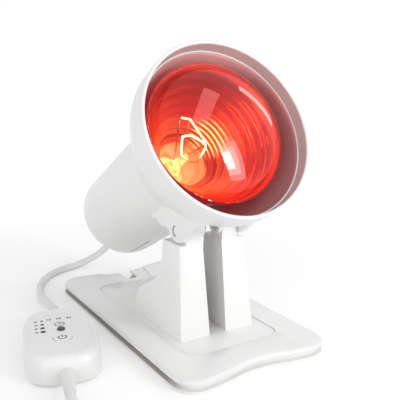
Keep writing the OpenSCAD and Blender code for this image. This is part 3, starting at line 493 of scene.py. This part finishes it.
def sweep(line, radius, sides):
    """Vertices and faces of a round tube along a line, with closed ends."""
    verts = []
    normal = None
    for i, p in enumerate(line):
        ahead = (line[min(i + 1, len(line) - 1)] - line[max(i - 1, 0)]).normalized()
        if normal is None:
            normal = ahead.orthogonal().normalized()
        normal = (normal - ahead * normal.dot(ahead)).normalized()
        side = ahead.cross(normal)
        for k in range(sides):
            a = 2 * math.pi * k / sides
            verts.append(p + radius * (math.cos(a) * normal + math.sin(a) * side))
    faces = ring_faces(len(line), sides, False)
    faces.append(tuple(range(sides - 1, -1, -1)))
    faces.append(tuple(range((len(line) - 1) * sides, len(line) * sides)))
    return verts, faces


def length_of(line):
    """Length of a line of points."""
    return sum((b - a).length for a, b in zip(line, line[1:]))


# ---------------------------------------------------------------- finishes


FINISHES = {}


def finishes():
    """Every finish of the lamp by the name of its material slot, made once."""
    if not FINISHES:
        s = bpy.context.scene.lamp_finish
        FINISHES.update({
            "white_gloss": moulded("white_plastic", tuple(s.white), 0.30),
            "grey_plastic": tray_plastic(s),
            "bracket": bracket_plastic(s),
            "leg": leg_plastic(s),
            "white_cord": rubber("cord_sheath", tuple(s.sheath), 0.5),
            "black_rubber": rubber("black_rubber", (0.022, 0.022, 0.024)),
            "black_plastic": moulded("black_plastic", (0.028, 0.028, 0.03), 0.4),
            "steel": metal("plated_steel", (0.62, 0.62, 0.63)),
            "brass": metal("brass", (0.80, 0.60, 0.27), 0.26),
            "reflector": shield_finish(),
            "red_glass": ruby_glass(s),
            "clear_glass": clear_glass(),
            "bulb_mirror": bulb_mirror(),
            "ceramic": moulded("glazed_ceramic", (0.80, 0.77, 0.70), 0.2, 0.00001, 0.06),
            "tungsten": glowing_wire(s),
            "lining_painted_shade_and_glow": moulded("shade_lining", tuple(s.lining_painted_shade_and_glow), 0.36),
            "board_green": board(),
            "light_green": moulded("light_pipe", (0.085, 0.08, 0.045), 0.2, 0.00001),
            "ink": moulded("printed_ink", tuple(s.ink), 0.5, 0.000004, 0.2),
        })
    return FINISHES


def bracket_plastic(s):
    """White plastic of the bracket and its caps, with painted shade in the front of the groove round each
    cap.
    """
    f = Finish("bracket_plastic", IOR=1.5)
    from_bolt = f.vector("SUBTRACT", f.place(), tuple(PIVOT * MM))
    flat = f.vector("MULTIPLY", from_bolt, (0, 1, 1))
    r = f.vector("LENGTH", flat, output="Value") / MM
    groove = r.step(2.9, 3.3) * r.step(4.2, 3.8)
    # Painted shade: the front of the groove round each cap is darkened as if the recess lay in shadow
    dust_and_painted_shade = groove * f.along((0, 1, 0), PIVOT * MM).step(-1, 2)
    return plastic_skin(f, f.mix(dust_and_painted_shade, tuple(s.white), (0.42, 0.41, 0.40)), 0.27)


def leg_plastic(s):
    """White plastic of the legs, duller on the faces in the gap between them, and greyer there as painted
    shade.
    """
    f = Finish("leg_plastic", IOR=1.5)
    across = f.along(ACROSS)
    # Painted shade: the faces in the gap between the legs are greyer, as if shaded
    painted_gap_shade = (f.facing(tuple(ACROSS)) * across).step(-2.0, -4.5) * across.math("ABSOLUTE").step(10, 8)
    return plastic_skin(f, f.mix(painted_gap_shade, tuple(s.white), (0.66, 0.645, 0.63)), painted_gap_shade * 0.2 + 0.27)


def tray_plastic(s):
    """Grey plastic of the tray with a pale flange, paler towards the front as painted light."""
    f = Finish("tray_plastic")
    # Painted light: the tray's wall turns paler towards the front, where the light falls on it
    front = f.along((0, 1, 0)).step(-75, -99)
    flange = f.along((0, 0, 1)).step(1.9, 1.5)
    wall_with_painted_light = f.mix(front, tuple(s.tray), (0.86, 0.85, 0.84))
    return plastic_skin(f, f.mix(flange, wall_with_painted_light, (0.88, 0.87, 0.86)), 0.38, 12)


def shield_finish():
    """Satin metal liner of the shade, redder towards its rear as painted red glow of the bulb, and darker
    low on the right as painted shade.
    """
    f = Finish("satin_liner", Metallic=0.2)
    lip = in_head(0, 0, 0)
    back = f.along(BACK, lip)
    painted_shade_drop = f.along(DOWN, lip) + f.along(ACROSS, lip) * 0.7
    rings = (back * 9 + f.noise(35, 2) * 2).sine()
    # Painted red glow: the liner turns redder towards its rear, as if lit by the bulb
    pale = f.mix(back.step(12, 50), (0.98, 0.86, 0.84), (0.84, 0.46, 0.43))
    # Painted shade: the liner turns darker low on the right
    f.set(Base_Color=f.mix(painted_shade_drop.step(-60, 20), pale, (0.60, 0.35, 0.36)),
          Roughness=f.noise(50, 3) * 0.12 + 0.30)
    return f.bump(rings, 0.00002, 0.3)


def ruby_glass(s):
    """Clear ruby glass with the faint waves of blown glass."""
    f = Finish("ruby_glass", Base_Color=tuple(s.ruby), Transmission_Weight=1.0, IOR=1.47,
               Specular_Tint=(1.0, 0.56, 0.56))
    f.set(Roughness=f.noise(180, 3) * 0.02 + 0.005)
    return f.bump(f.noise(24, 2), 0.0005, 0.10)


def clear_glass():
    """Glass of the stem, tinted and glowing orange and yellow in blobs as painted light of the filament
    shining through it.
    """
    # Painted glow: the stem emits light of its own in place of the filament's light passing through it
    f = Finish("stem_glass", Transmission_Weight=0.4, IOR=1.5, Emission_Strength=3.0)
    seeds_and_painted_glow = f.noise(190, 4)
    f.set(Base_Color=f.mix(seeds_and_painted_glow, (0.95, 0.70, 0.35), (1.0, 0.85, 0.55)),
          Emission_Color=f.mix(seeds_and_painted_glow.step(0.42, 0.58), (0.55, 0.10, 0.02), (1.0, 0.80, 0.35)),
          Roughness=seeds_and_painted_glow * 0.2 + 0.05)
    return f.bump(seeds_and_painted_glow, 0.0006, 0.6)


# Painted glow of the mirrored bowl, in place of the filament's light in its mirror, from the lip back:
# red, a bright band, a dark ring and the bright neck
PAINTED_BOWL_GLOW = ((0.06, (0.10, 0.001, 0.001)), (0.24, (0.32, 0.007, 0.006)), (0.42, (0.55, 0.04, 0.02)),
        (0.56, (0.80, 0.26, 0.08)), (0.62, (0.18, 0.002, 0.002)), (0.68, (0.28, 0.005, 0.004)),
        (0.74, (1.2, 0.90, 0.30)), (0.95, (1.1, 0.85, 0.40)))
# Strength of that painted glow, by which its colours are divided, because ruby glass swallows most of it
PAINTED_GLOW_STRENGTH = 6.0


def bulb_mirror():
    """Mirrored inside of the bulb under a red lacquer outside. Its glow is painted light: the mirror
    emits in place of the filament's light in it, with painted shade, painted reflections of the filament
    and a painted red glow outside.
    """
    f = Finish("bulb_mirror", Emission_Strength=PAINTED_GLOW_STRENGTH)
    origin = in_head(0, -BULB_LIFT, 0)
    back = f.along(BACK, origin)
    across = f.along(ACROSS, origin)
    down = f.along(DOWN, origin)
    lengthways = f.vector("SCALE", tuple(BACK), Scale=back * MM)
    outward = f.vector("SUBTRACT", f.vector("SUBTRACT", f.place(), tuple(origin)), lengthways)
    inside = f.facing(outward) < 0
    cloud = f.noise(26, 3)
    ripple = (back * 0.85 + cloud * 7).sine()
    fine = (back * 2.6 + cloud * 9).sine()
    # Painted shade: the bowl is darker towards its top, in its glow and in its silver
    painted_shade = (across * 0.30 + down * 0.92).step(8, -42)
    level = back / 100.0 + ripple * 0.026 + fine * 0.012 + (cloud - 0.5) * 0.14 - painted_shade * 0.14
    # Painted reflections: bright streaks of the filament on the bowl, round one spot on its right
    painted_glint_spot = in_head(22, -12 - BULB_LIFT, 60)
    to_painted_glint = f.vector("DISTANCE", f.place(), tuple(painted_glint_spot), output="Value") / MM
    painted_filament_streaks = (back * 2.1 + cloud * 4).sine().step(0.2, 0.9) * to_painted_glint.step(17, 7)
    stops = [(at, tuple(c / PAINTED_GLOW_STRENGTH for c in colour)) for at, colour in PAINTED_BOWL_GLOW]
    # The painted glow's colour along the bowl
    heat = f.value("ShaderNodeValToRGB", "Color", {"stops": stops}, {"Fac": level})
    # Painted red glow along the bowl's front edge
    heat = f.mix(back.step(26, 18), heat, (0.125, 0.014, 0.010))
    silver_with_painted_shade = f.mix(painted_shade, (0.40, 0.13, 0.10), (0.13, 0.025, 0.02))
    f.set(Base_Color=f.mix(inside, (0.30, 0.02, 0.015), silver_with_painted_shade),
          Metallic=inside,
          Roughness=0.34 - inside * 0.20,
          # Painted red glow on the outside of the bowl as well, which tints the liner red
          Emission_Color=f.mix(inside, (0.03, 0.001, 0.001), f.mix(painted_filament_streaks, heat, (0.9, 0.62, 0.20))))
    return f.bump(ripple + fine * 0.4, 0.0004, 0.5)


def glowing_wire(s):
    """Tungsten wire of the filament, white hot except at its cooler lower ends."""
    f = Finish("glowing_filament", Base_Color=(0.9, 0.6, 0.2), Emission_Strength=s.glow)
    turns = f.noise(700, 2)
    hot = f.mix(turns.step(0.3, 0.7), (1.0, 0.62, 0.26), (1.0, 0.80, 0.42))
    cool = f.along(DOWN, in_head(0, -BULB_LIFT, 0)).step(3.5, 9.5)
    f.set(Emission_Color=f.mix(cool, hot, (0.10, 0.012, 0.002)), Roughness=turns * 0.2 + 0.3)
    return f.bump(turns, 0.0001, 0.8)


def board():
    """Circuit board: green mask with the traces showing through."""
    f = Finish("circuit_board")
    edges = f.value("ShaderNodeTexVoronoi", "Distance", {"feature": "DISTANCE_TO_EDGE"},
                    {"Vector": f.place(), "Scale": 420.0})
    traces = edges.step(0.02, 0.06)
    f.set(Base_Color=f.mix(traces, (0.10, 0.34, 0.16), (0.02, 0.16, 0.07)),
          Roughness=0.35 + f.noise(90) * 0.1)
    return f.bump(traces, 0.00003, 0.5)


def dress(*nodes):
    """Gives CAD nodes the finish of their own material slot."""
    for name in nodes:
        mesh = frame["nodes"][name].data
        mesh.materials.clear()
        mesh.materials.append(finishes()[SLOTS[name]].material)
        for p in mesh.polygons:
            p.material_index = 0


# ---------------------------------------------------------------- operators


# Rays that see a white background and a bright floor. All others meet the even light instead.
SEEING_RAYS = ("Is Camera Ray", "Is Glossy Ray", "Is Transmission Ray")
# Where the lamps at the front right point, and the runs of their long sides
FRONT_AIM = (-0.01, -0.08, 0.13)
FRONT_RUN = (0.11, -0.12, -0.81)
UPRIGHT = (0, 0, 1)


class LAMP_OT_stage(bpy.types.Operator):
    """Camera at the photographed angle, floor, sky and soft studio lamps"""

    bl_idname = "lamp.stage"
    bl_label = "Studio and camera"

    def execute(self, context):
        scene = context.scene
        self.camera(scene, scene.lamp_camera)
        self.sky(scene, scene.lamp_studio)
        self.floor(scene, scene.lamp_studio)
        self.lamps(scene, scene.lamp_studio)
        return {"FINISHED"}

    def camera(self, scene, s):
        """Camera where the photograph was taken from."""
        camera = bpy.data.objects.new("camera", bpy.data.cameras.new("camera"))
        scene.collection.objects.link(camera)
        camera.location = s.place
        camera.rotation_mode = "QUATERNION"
        camera.rotation_quaternion = Vector(s.ahead).to_track_quat("-Z", "Y")
        camera.data.sensor_width = 36
        camera.data.lens = s.lens
        camera.data.clip_start, camera.data.clip_end = 0.01, 20
        scene.camera = camera
        scene.view_settings.view_transform = "Standard"

    def sky(self, scene, s):
        """White for the rays that see it, and the even light's strength for all others."""
        world = scene.world or bpy.data.worlds.new("sky")
        scene.world = world
        world.use_nodes = True
        tree = world.node_tree
        tree.nodes.clear()
        out = tree.nodes.new("ShaderNodeOutputWorld")
        ray = tree.nodes.new("ShaderNodeLightPath")
        seen = None
        for name in SEEING_RAYS:
            add = tree.nodes.new("ShaderNodeMath")
            add.operation, add.use_clamp = "ADD", True
            add.inputs[1].default_value = 0
            tree.links.new(ray.outputs[name], add.inputs[0])
            if seen:
                tree.links.new(seen, add.inputs[1])
            seen = add.outputs[0]
        mixed = tree.nodes.new("ShaderNodeMixShader")
        for index, strength in ((1, s.sky), (2, 1.0)):
            light = tree.nodes.new("ShaderNodeBackground")
            light.inputs["Color"].default_value = (1, 1, 1, 1)
            light.inputs["Strength"].default_value = strength
            tree.links.new(light.outputs[0], mixed.inputs[index])
        tree.links.new(seen, mixed.inputs[0])
        tree.links.new(mixed.outputs[0], out.inputs["Surface"])

    def floor(self, scene, s):
        """Pale floor that keeps the shadows and turns white away from the lamp."""
        rough = 0.9
        f = Finish("pale_floor", Roughness=rough)
        colour = f.mix(f.noise(3), tuple(x * 0.99 for x in s.floor), tuple(s.floor))
        f.set(Base_Color=colour)
        away = f.vector("LENGTH", f.place(), output="Value").step(0.12, 0.75)
        lit = f.node("ShaderNodeBsdfPrincipled", {}, {
            "Base Color": colour, "Roughness": rough,
            "Emission Color": f.mix(away, (0.45, 0.44, 0.44), (1, 1, 1)), "Emission Strength": 0.5})
        ray = f.node("ShaderNodeLightPath")
        camera, glossy, through = (Value(f, ray.outputs[name]) for name in SEEING_RAYS)
        mixed = f.node("ShaderNodeMixShader", {}, {0: camera + glossy + through})
        f.tree.links.new(f.surface.outputs[0], mixed.inputs[1])
        f.tree.links.new(lit.outputs[0], mixed.inputs[2])
        f.tree.links.new(mixed.outputs[0], f.out.inputs["Surface"])
        side, front, back, sunk = 6, -6, 8, 0.00005
        mesh = bpy.data.meshes.new("floor")
        corners = [(-side, front, 0), (side, front, 0), (side, back, 0), (-side, back, 0)]
        mesh.from_pydata(corners, [], [(0, 1, 2, 3)])
        mesh.materials.append(f.material)
        obj = bpy.data.objects.new("floor", mesh)
        obj.location.z = -sunk
        scene.collection.objects.link(obj)

    def lamps(self, scene, s):
        """Soft lamps, each with its size, its place, where it points and the run of its long side.
        The halos are seen in gloss alone."""
        front = (FRONT_AIM, FRONT_RUN)
        for name, power, size, place, aim, run in (
            ("front_box", s.front, (0.28, 0.82), (0.45, -0.88, 0.28), *front),
            ("halo_small", s.halo, (0.12, 0.26), (0.36, -0.86, 0.37), *front),
            ("halo_middle", s.halo, (0.20, 0.42), (0.40, -0.86, 0.34), *front),
            ("halo_large", s.halo, (0.28, 0.60), (0.44, -0.86, 0.31), *front),
            ("spark", s.spark, (0.09, 0.09), (0.33, -0.85, 0.38), FRONT_AIM, UPRIGHT),
            ("side_box", s.side, (0.10, 0.50), (0.90, -0.06, 0.66), (0.02, -0.06, 0.16), UPRIGHT),
            ("top_box", s.top, (0.20, 0.58), (0.27, -0.53, 0.96), (-0.01, -0.06, 0.17),
             (-0.32, -0.48, -0.11)),
            ("fill", s.fill, (0.60, 0.50), (-0.85, -0.60, 0.20), (0, -0.03, 0.08), UPRIGHT),
        ):
            data = bpy.data.lights.new(name, "AREA")
            data.shape, data.energy = "DISK" if name == "spark" else "RECTANGLE", power
            data.size, data.size_y = size
            obj = bpy.data.objects.new(name, data)
            obj.location = place
            back = (Vector(place) - Vector(aim)).normalized()
            side = Vector(run).cross(back).normalized()
            obj.rotation_mode = "QUATERNION"
            obj.rotation_quaternion = Matrix((side, back.cross(side), back)).transposed().to_quaternion()
            obj.visible_diffuse = not name.startswith("halo")
            scene.collection.objects.link(obj)


# Routes of the cord in millimetres, as its solids lie: from the head down to the floor, along the
# floor to the controller, and from the controller to the coil
RELIEF_END = in_head(8, 10, 218) / MM
DROP = [RELIEF_END, RELIEF_END + 9 * BACK] + [Vector(p) for p in (
    (6.5, 136, 25), (3, 143, 17.5), (-3, 147.5, 11), (-12, 149.5, 6.2), (-23, 149, 3.6))]
RUN = [Vector(p) for p in (
    (-35, 146.5, 3.1), (-47, 141, 3), (-58, 132.5, 3), (-66.5, 121, 3), (-72.5, 108, 3),
    (-76.5, 94, 3.4), (-79, 80, 4.8), (-80.2, 66, 6.8), (-81.7, 52, 7.9), (-81.7, 46.9, 8))]
LEAD = [Vector(p) for p in (
    (-114.3, -74.9, 8), (-117.5, -87, 7.4), (-120.8, -98, 5.9), (-123.6, -109, 4.4),
    (-125.5, -119, 3.7), (-126, -124, 3.6))]
# The coil: its middle, its outer radius, the step from turn to turn, and its layers' heights
COIL_X, COIL_Y = -171, -130
COIL_R = 45
COIL_PITCH = 6.5
COIL_Z = 3.6
COIL_RISE = 6.6
COIL_TURNS = 5.5
TURN_POINTS = 24
PLUG_START = Vector((COIL_X - COIL_R, COIL_Y + 40, 7.5))


def coil_point(t):
    """Place on the coil after t turns: inwards on the lower layer, a climb, and out again above."""
    r = COIL_R - COIL_PITCH * min(t, COIL_TURNS - t)
    a = 2 * math.pi * t
    climb = min(max((t - COIL_TURNS / 2) * 2 + 0.5, 0), 1)
    height = COIL_Z + COIL_RISE * climb * climb * (3 - 2 * climb)
    return Vector((COIL_X + r * math.cos(a), COIL_Y - r * math.sin(a), height))


class LAMP_OT_cord(bpy.types.Operator):
    """The mains cord: from the head to the controller, and on to its coil and plug"""

    bl_idname = "lamp.cord"
    bl_label = "Cord"

    def execute(self, context):
        s = context.scene.lamp_cord
        sheath = finishes()["white_cord"]
        self.to_controller(s, sheath)
        self.supply(s, sheath)
        dress("cord_tie", "plug_body", "plug_pins", "relief_upper", "relief_lower", "head_relief")
        return {"FINISHED"}

    def to_controller(self, s, sheath):
        """The upper stretch, from the tail down to the floor and along it to the controller."""
        line = [p * MM for p in smooth_line(DROP + RUN, 4)]
        verts, faces = sweep(line, s.diameter / 2, s.sides)
        upper = piece("cord_to_controller", verts, faces, sheath, "stand", parented=False)
        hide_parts("cord_drop", "cord_run")
        # Along this direction every point of the run on the floor lies before the drop
        follow = Vector((1, 0, 1))
        ground = DROP[-1]
        rise = follow * ((RELIEF_END - ground).dot(follow) - s.diameter / MM) / 2
        tuple(ground * MM)
        tuple((ground + rise) * MM)
        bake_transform(upper)
        length_of(line)

    def supply(self, s, sheath):
        """The lead from the controller, its coil, and its end at the plug."""
        last = coil_point(COIL_TURNS)
        turns = [coil_point(i / TURN_POINTS) for i in range(int(COIL_TURNS * TURN_POINTS) + 1)]
        end = [last + Vector(p) for p in ((0, 6, 0), (0, 18, -0.5), (0, 29, -1.5))] + [PLUG_START]
        line = [p * MM for p in smooth_line(LEAD + turns + end, 2)]
        verts, faces = sweep(line, s.diameter / 2, s.sides)
        supply = piece("supply_cord", verts, faces, sheath, "stand")
        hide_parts("cord_lead", "cord_coil", "cord_end")
        length_of(line)


# Lathe curves of the shade and the bulb, as radius and distance back in millimetres
SHADE_CURVE = [(60.1, 14), (59.5, 30), (46.0, 42), (37.8, 66)]
SHADE_WALL = 2.5
LIP_R = SHADE_WALL / 2
# The liner: how deep its two faces lie under the shade's outside, where it ends, and its lip
LINER_DEPTHS = (2.8, 3.8)
LINER_BACK = 52
LINER_LIP = [(56.3, 9.6), (56.5, 9.15), (57.3, 9.1)]
# The bulb: how far its axis lies above the head's, its front, its widest ring and its neck's end
BULB_LIFT = 3.5
BULB_FRONT = -3
BULB_WIDE = 16.5
BULB_BACK = 101.0
BULB_R = 48.5
NECK_R = 15
GLASS = 1.0
POLE_R = 0.02
FACE_CURVE = [(0, BULB_FRONT), (BULB_R * 0.55, BULB_FRONT), (BULB_R, 6.0), (BULB_R, BULB_WIDE)]
BACK_CURVE = [(BULB_R, BULB_WIDE), (BULB_R, BULB_WIDE + 17), (25, BULB_WIDE + 39.5), (16, BULB_WIDE + 64)]
# The filament's route, across, down from the bulb's axis and back from the lip
FILAMENT = [(-8, -21, 41), (-1.5, -19.5, 41), (5.5, -4.5, 42), (6, 0.5, 42.5), (-3.5, 10.5, 43),
            (-8.5, 9.5, 44), (-13.5, 4, 44.5), (-9, -9, 44.5), (-2, -9.5, 45), (8.5, -3.5, 46.5)]
# How far the bends of that route are rounded
BEND = 1.6 * MM
# The filament's winding: its radius, the step and the points of a turn, and over how many of them
# its direction is taken to each side
WINDING_R = 0.52 * MM
WINDING_STEP = 0.07 * MM
WINDING_POINTS = 10
WINDING_REACH = 4
WIRE_R = 0.19 * MM
WIRE_SIDES = 5


def rounded_route(route, bend):
    """A route of straight runs with each bend rounded."""
    soft = [route[0]]
    for before, p, after in zip(route, route[1:], route[2:]):
        a = p + bend * (before - p).normalized()
        b = p + bend * (after - p).normalized()
        soft += [a.lerp(p, 2 * t).lerp(p.lerp(b, t), t) if t else a for t in (0, 0.25, 0.5)]
        soft += [b.lerp(p, 0.5), b]
    return soft + [route[-1]]


def even_points(route, step):
    """Points a step apart along a route."""
    even, spare = [route[0]], 0.0
    for a, b in zip(route, route[1:]):
        size = (b - a).length
        at = step - spare
        while at < size:
            even.append(a.lerp(b, at / size))
            at += step
        spare = (spare + size) % step
    return even


def wound_filament(finish):
    """The filament's fine coil, wound along its route."""
    route = [in_head(x, y - BULB_LIFT, z) for x, y, z in FILAMENT]
    even = even_points(rounded_route(route, BEND), WINDING_STEP)
    coil, normal = [], None
    for i, p in enumerate(even):
        after, before = min(i + WINDING_REACH, len(even) - 1), max(i - WINDING_REACH, 0)
        ahead = (even[after] - even[before]).normalized()
        if normal is None:
            normal = ahead.orthogonal().normalized()
        else:
            normal = (normal - ahead * normal.dot(ahead)).normalized()
        turn = 2 * math.pi * i / WINDING_POINTS
        coil.append(p + WINDING_R * (math.cos(turn) * normal + math.sin(turn) * ahead.cross(normal)))
    verts, faces = sweep(coil, WIRE_R, WIRE_SIDES)
    obj = piece("wound_filament", verts, faces, finish, "head", 180)
    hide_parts("filament")


class LAMP_OT_shade(bpy.types.Operator):
    """The bell shade with its rounded lip, and the satin liner inside it"""

    bl_idname = "lamp.shade"
    bl_label = "Shade and liner"

    def execute(self, context):
        done = finishes()
        outer = stretch(SHADE_CURVE, 36)
        inner = stretch(SHADE_CURVE, 36, SHADE_WALL)[::-1]
        lip = arc(SHADE_CURVE[0][0] - LIP_R, LIP_R, LIP_R, 180, 360, 10)
        # The shade's inside takes the lining: painted shade with a painted red glow
        shade = lathe("bell_shade", outer + inner + lip, done["white_gloss"],
                      second=done["lining_painted_shade_and_glow"], part=inner + lip[:1])
        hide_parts("shade")
        share = (LINER_BACK - SHADE_CURVE[0][1]) / (SHADE_CURVE[-1][1] - SHADE_CURVE[0][1])
        out, into = (stretch(SHADE_CURVE, 30, depth, share=share) for depth in LINER_DEPTHS)
        # The liner's lip is white, a painted highlight along its front edge
        liner = lathe("satin_liner", out + into[::-1] + LINER_LIP, done["reflector"],
                      second=done["white_gloss"], part=LINER_LIP)
        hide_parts("heat_shield")
        softened("tilt_bracket", 0.0005, done["bracket"], "head", 2)
        softened("pivot_caps", 0.0003, done["bracket"], "head", 2)
        dress("tail_housing", "bracket_screws")
        return {"FINISHED"}


class LAMP_OT_bulb(bpy.types.Operator):
    """The ruby reflector bulb with its glowing filament, and the socket behind it"""

    bl_idname = "lamp.bulb"
    bl_label = "Bulb and socket"

    def execute(self, context):
        done = finishes()
        face = [(POLE_R, BULB_FRONT)] + stretch(FACE_CURVE, 28, first=1)
        behind = stretch(FACE_CURVE, 28, GLASS, first=1)[::-1] + [(POLE_R, BULB_FRONT + GLASS)]
        lens = lathe("ruby_face", face + behind, done["red_glass"], BULB_LIFT, 60)
        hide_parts("bulb_lens")
        bowl = stretch(BACK_CURVE, 40) + [(NECK_R, BULB_BACK)]
        hollow = [(NECK_R - GLASS, BULB_BACK)] + stretch(BACK_CURVE, 40, GLASS)[::-1]
        mirror = lathe("mirrored_bowl", bowl + hollow, done["bulb_mirror"], BULB_LIFT, 60)
        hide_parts("bulb_reflector")
        wound_filament(done["tungsten"])
        dress("bulb_cap", "cap_insulator", "cap_contact", "glass_stem", "lead_wires",
              "filament_supports", "socket_body", "socket_shell", "centre_contact", "socket_plate",
              "socket_screws", "cord_clamp", "supply_wires")
        return {"FINISHED"}


class LAMP_OT_stand(bpy.types.Operator):
    """The flat base, the two hollow legs and the tilt joint between them and the head"""

    bl_idname = "lamp.stand"
    bl_label = "Base and legs"

    def execute(self, context):
        done = finishes()
        for leg in ("leg_left", "leg_right"):
            softened(leg, 0.0007, done["leg"], "stand")
        softened("foot_panel", 0.0003, done["white_gloss"], "stand", 2)
        softened("base_cover", 0.0005, done["white_gloss"], "stand", 2)
        dress("base_tray", "ballast_plate", "foot_pads", "base_screws", "leg_screws", "pivot_bolts",
              "pivot_nuts", "friction_washers")
        return {"FINISHED"}


# Marks on the controller, in millimetres: how far they stand out of its face, and their thickness
MARK_OUT = 0.05
MARK_THICK = 0.07
# The level dots: where their row lies, and each dot's place along it and radius
DOTS_X = -10.9
DOTS = ((17, 1.0), (11.2, 1.2), (5.4, 1.55), (-0.4, 1.75))
# The clock: its middle, its ring, and the width of its hands
CLOCK_X, CLOCK_Y = 0.35, 9.3
CLOCK_R = 3.1
CLOCK_LINE = 0.62
HAND_LINE = 0.55
# The power sign: its middle, its ring and its line
POWER_X, POWER_Y = 0.4, -12.7
POWER_R = 2.5
POWER_LINE = 0.75
# The minutes: their places, their size, and how far they are thickened and lifted
NUMBERS = (("10", -6.3), ("30", 0.35), ("40", 7.0))
NUMBERS_Y = 18.3
NUMBER_SIZE = 3.7
NUMBER_BOLD = 0.06
NUMBER_LIFT = 0.02


def flat_mark(name, outline, face=CONTROLLER_TOP):
    """A thin printed mark on a face of the controller from its outline in millimetres."""
    n = len(outline)
    top = face + MARK_OUT
    verts = [on_controller(x, y, z) for z in (top, top - MARK_THICK) for x, y in outline]
    faces = [tuple(range(n)), tuple(range(2 * n - 1, n - 1, -1))]
    faces += [(i, (i + 1) % n, n + (i + 1) % n, n + i) for i in range(n)]
    mark = piece(name, verts, faces, finishes()["ink"], "stand")
    return mark


def disc(x, y, r, n=40):
    """Outline of a disc."""
    return arc(x, y, r, 0, 360, n)[:-1]


def band(x, y, r, width, start, stop, n=48):
    """Outline of part of a ring, in degrees from the right."""
    return arc(x, y, r + width / 2, start, stop, n) + arc(x, y, r - width / 2, start, stop, n)[::-1]


def bar(x0, y0, x1, y1, width):
    """Outline of a straight stroke."""
    run = Vector((x1 - x0, y1 - y0)).normalized() * width / 2
    return [(x0 - run.y, y0 + run.x), (x0 + run.y, y0 - run.x),
            (x1 + run.y, y1 - run.x), (x1 - run.y, y1 + run.x)]


class LAMP_OT_controller(bpy.types.Operator):
    """The in-line controller with its buttons, lights and printed marks"""

    bl_idname = "lamp.controller"
    bl_label = "Controller"

    def execute(self, context):
        dress("controller_base", "controller_cover", "circuit_board", "board_parts", "power_switch",
              "timer_switch", "light_pipes", "controller_screws", "power_button", "timer_button")
        for index, (y, r) in enumerate(DOTS):
            flat_mark(f"level_dot_{index + 1}", disc(DOTS_X, y, r))
        flat_mark("clock_ring_right", band(CLOCK_X, CLOCK_Y, CLOCK_R, CLOCK_LINE, -90, 90))
        flat_mark("clock_ring_left", band(CLOCK_X, CLOCK_Y, CLOCK_R, CLOCK_LINE, 90, 270))
        long_hand = bar(CLOCK_X, CLOCK_Y - 0.25, CLOCK_X, CLOCK_Y + 2.3, HAND_LINE)
        short_hand = bar(CLOCK_X - 0.25, CLOCK_Y, CLOCK_X + 1.85, CLOCK_Y, HAND_LINE)
        flat_mark("clock_hand_long", long_hand)
        flat_mark("clock_hand_short", short_hand)
        flat_mark("timer_dot", disc(0.4, 4.9, 0.6, 24))
        ring = band(POWER_X, POWER_Y, POWER_R, POWER_LINE, 125, 415)
        stroke = bar(POWER_X, POWER_Y + 0.1, POWER_X, POWER_Y + 3.3, POWER_LINE)
        marks = [flat_mark("power_arc", ring, BUTTON_TOP), flat_mark("power_stroke", stroke, BUTTON_TOP)]
        for mark in marks:
            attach(mark, "power_button")
        for text, x in NUMBERS:
            self.number(text, x, NUMBERS_Y)
        return {"FINISHED"}

    def number(self, text, x, y):
        """A printed number with its middle at x, y."""
        data = bpy.data.curves.new("number_" + text, "FONT")
        data.body, data.size = text, NUMBER_SIZE
        data.extrude, data.offset = MARK_THICK / 2, NUMBER_BOLD
        data.align_x, data.align_y = "CENTER", "CENTER"
        mesh = evaluated_mesh("number_work", data, lambda carrier: None)
        for v in mesh.vertices:
            v.co = on_controller(x + v.co.x, y + v.co.y, CONTROLLER_TOP + NUMBER_LIFT + v.co.z)
        from_mesh("minutes_" + text, mesh, finishes()["ink"], "stand")


class LAMP_PT_panel(bpy.types.Panel):
    """Settings and steps of the heat lamp"""

    bl_idname = "LAMP_PT_panel"
    bl_label = "Heat lamp"
    bl_space_type = "VIEW_3D"
    bl_region_type = "UI"
    bl_category = "Heat lamp"

    def draw(self, context):
        for name, group in SETTINGS.items():
            box = self.layout.box()
            for key in group.__annotations__:
                box.prop(getattr(context.scene, name), key)
        for step in STEPS:
            self.layout.operator(step.bl_idname)


STEPS = (LAMP_OT_stage, LAMP_OT_cord, LAMP_OT_shade, LAMP_OT_bulb, LAMP_OT_stand, LAMP_OT_controller)


def register():
    for group in SETTINGS.values():
        bpy.utils.register_class(group)
    for name, group in SETTINGS.items():
        setattr(bpy.types.Scene, name, PointerProperty(type=group))
    for step in STEPS:
        bpy.utils.register_class(step)
    bpy.utils.register_class(LAMP_PT_panel)


def unregister():
    bpy.utils.unregister_class(LAMP_PT_panel)
    for step in reversed(STEPS):
        bpy.utils.unregister_class(step)
    for name in SETTINGS:
        delattr(bpy.types.Scene, name)
    for group in reversed(list(SETTINGS.values())):
        bpy.utils.unregister_class(group)


def main():
    register()
    bpy.ops.lamp.stage()
    bpy.ops.lamp.cord()
    bpy.ops.lamp.shade()
    bpy.ops.lamp.bulb()
    bpy.ops.lamp.stand()
    bpy.ops.lamp.controller()


if __name__ == "__main__":
    main()
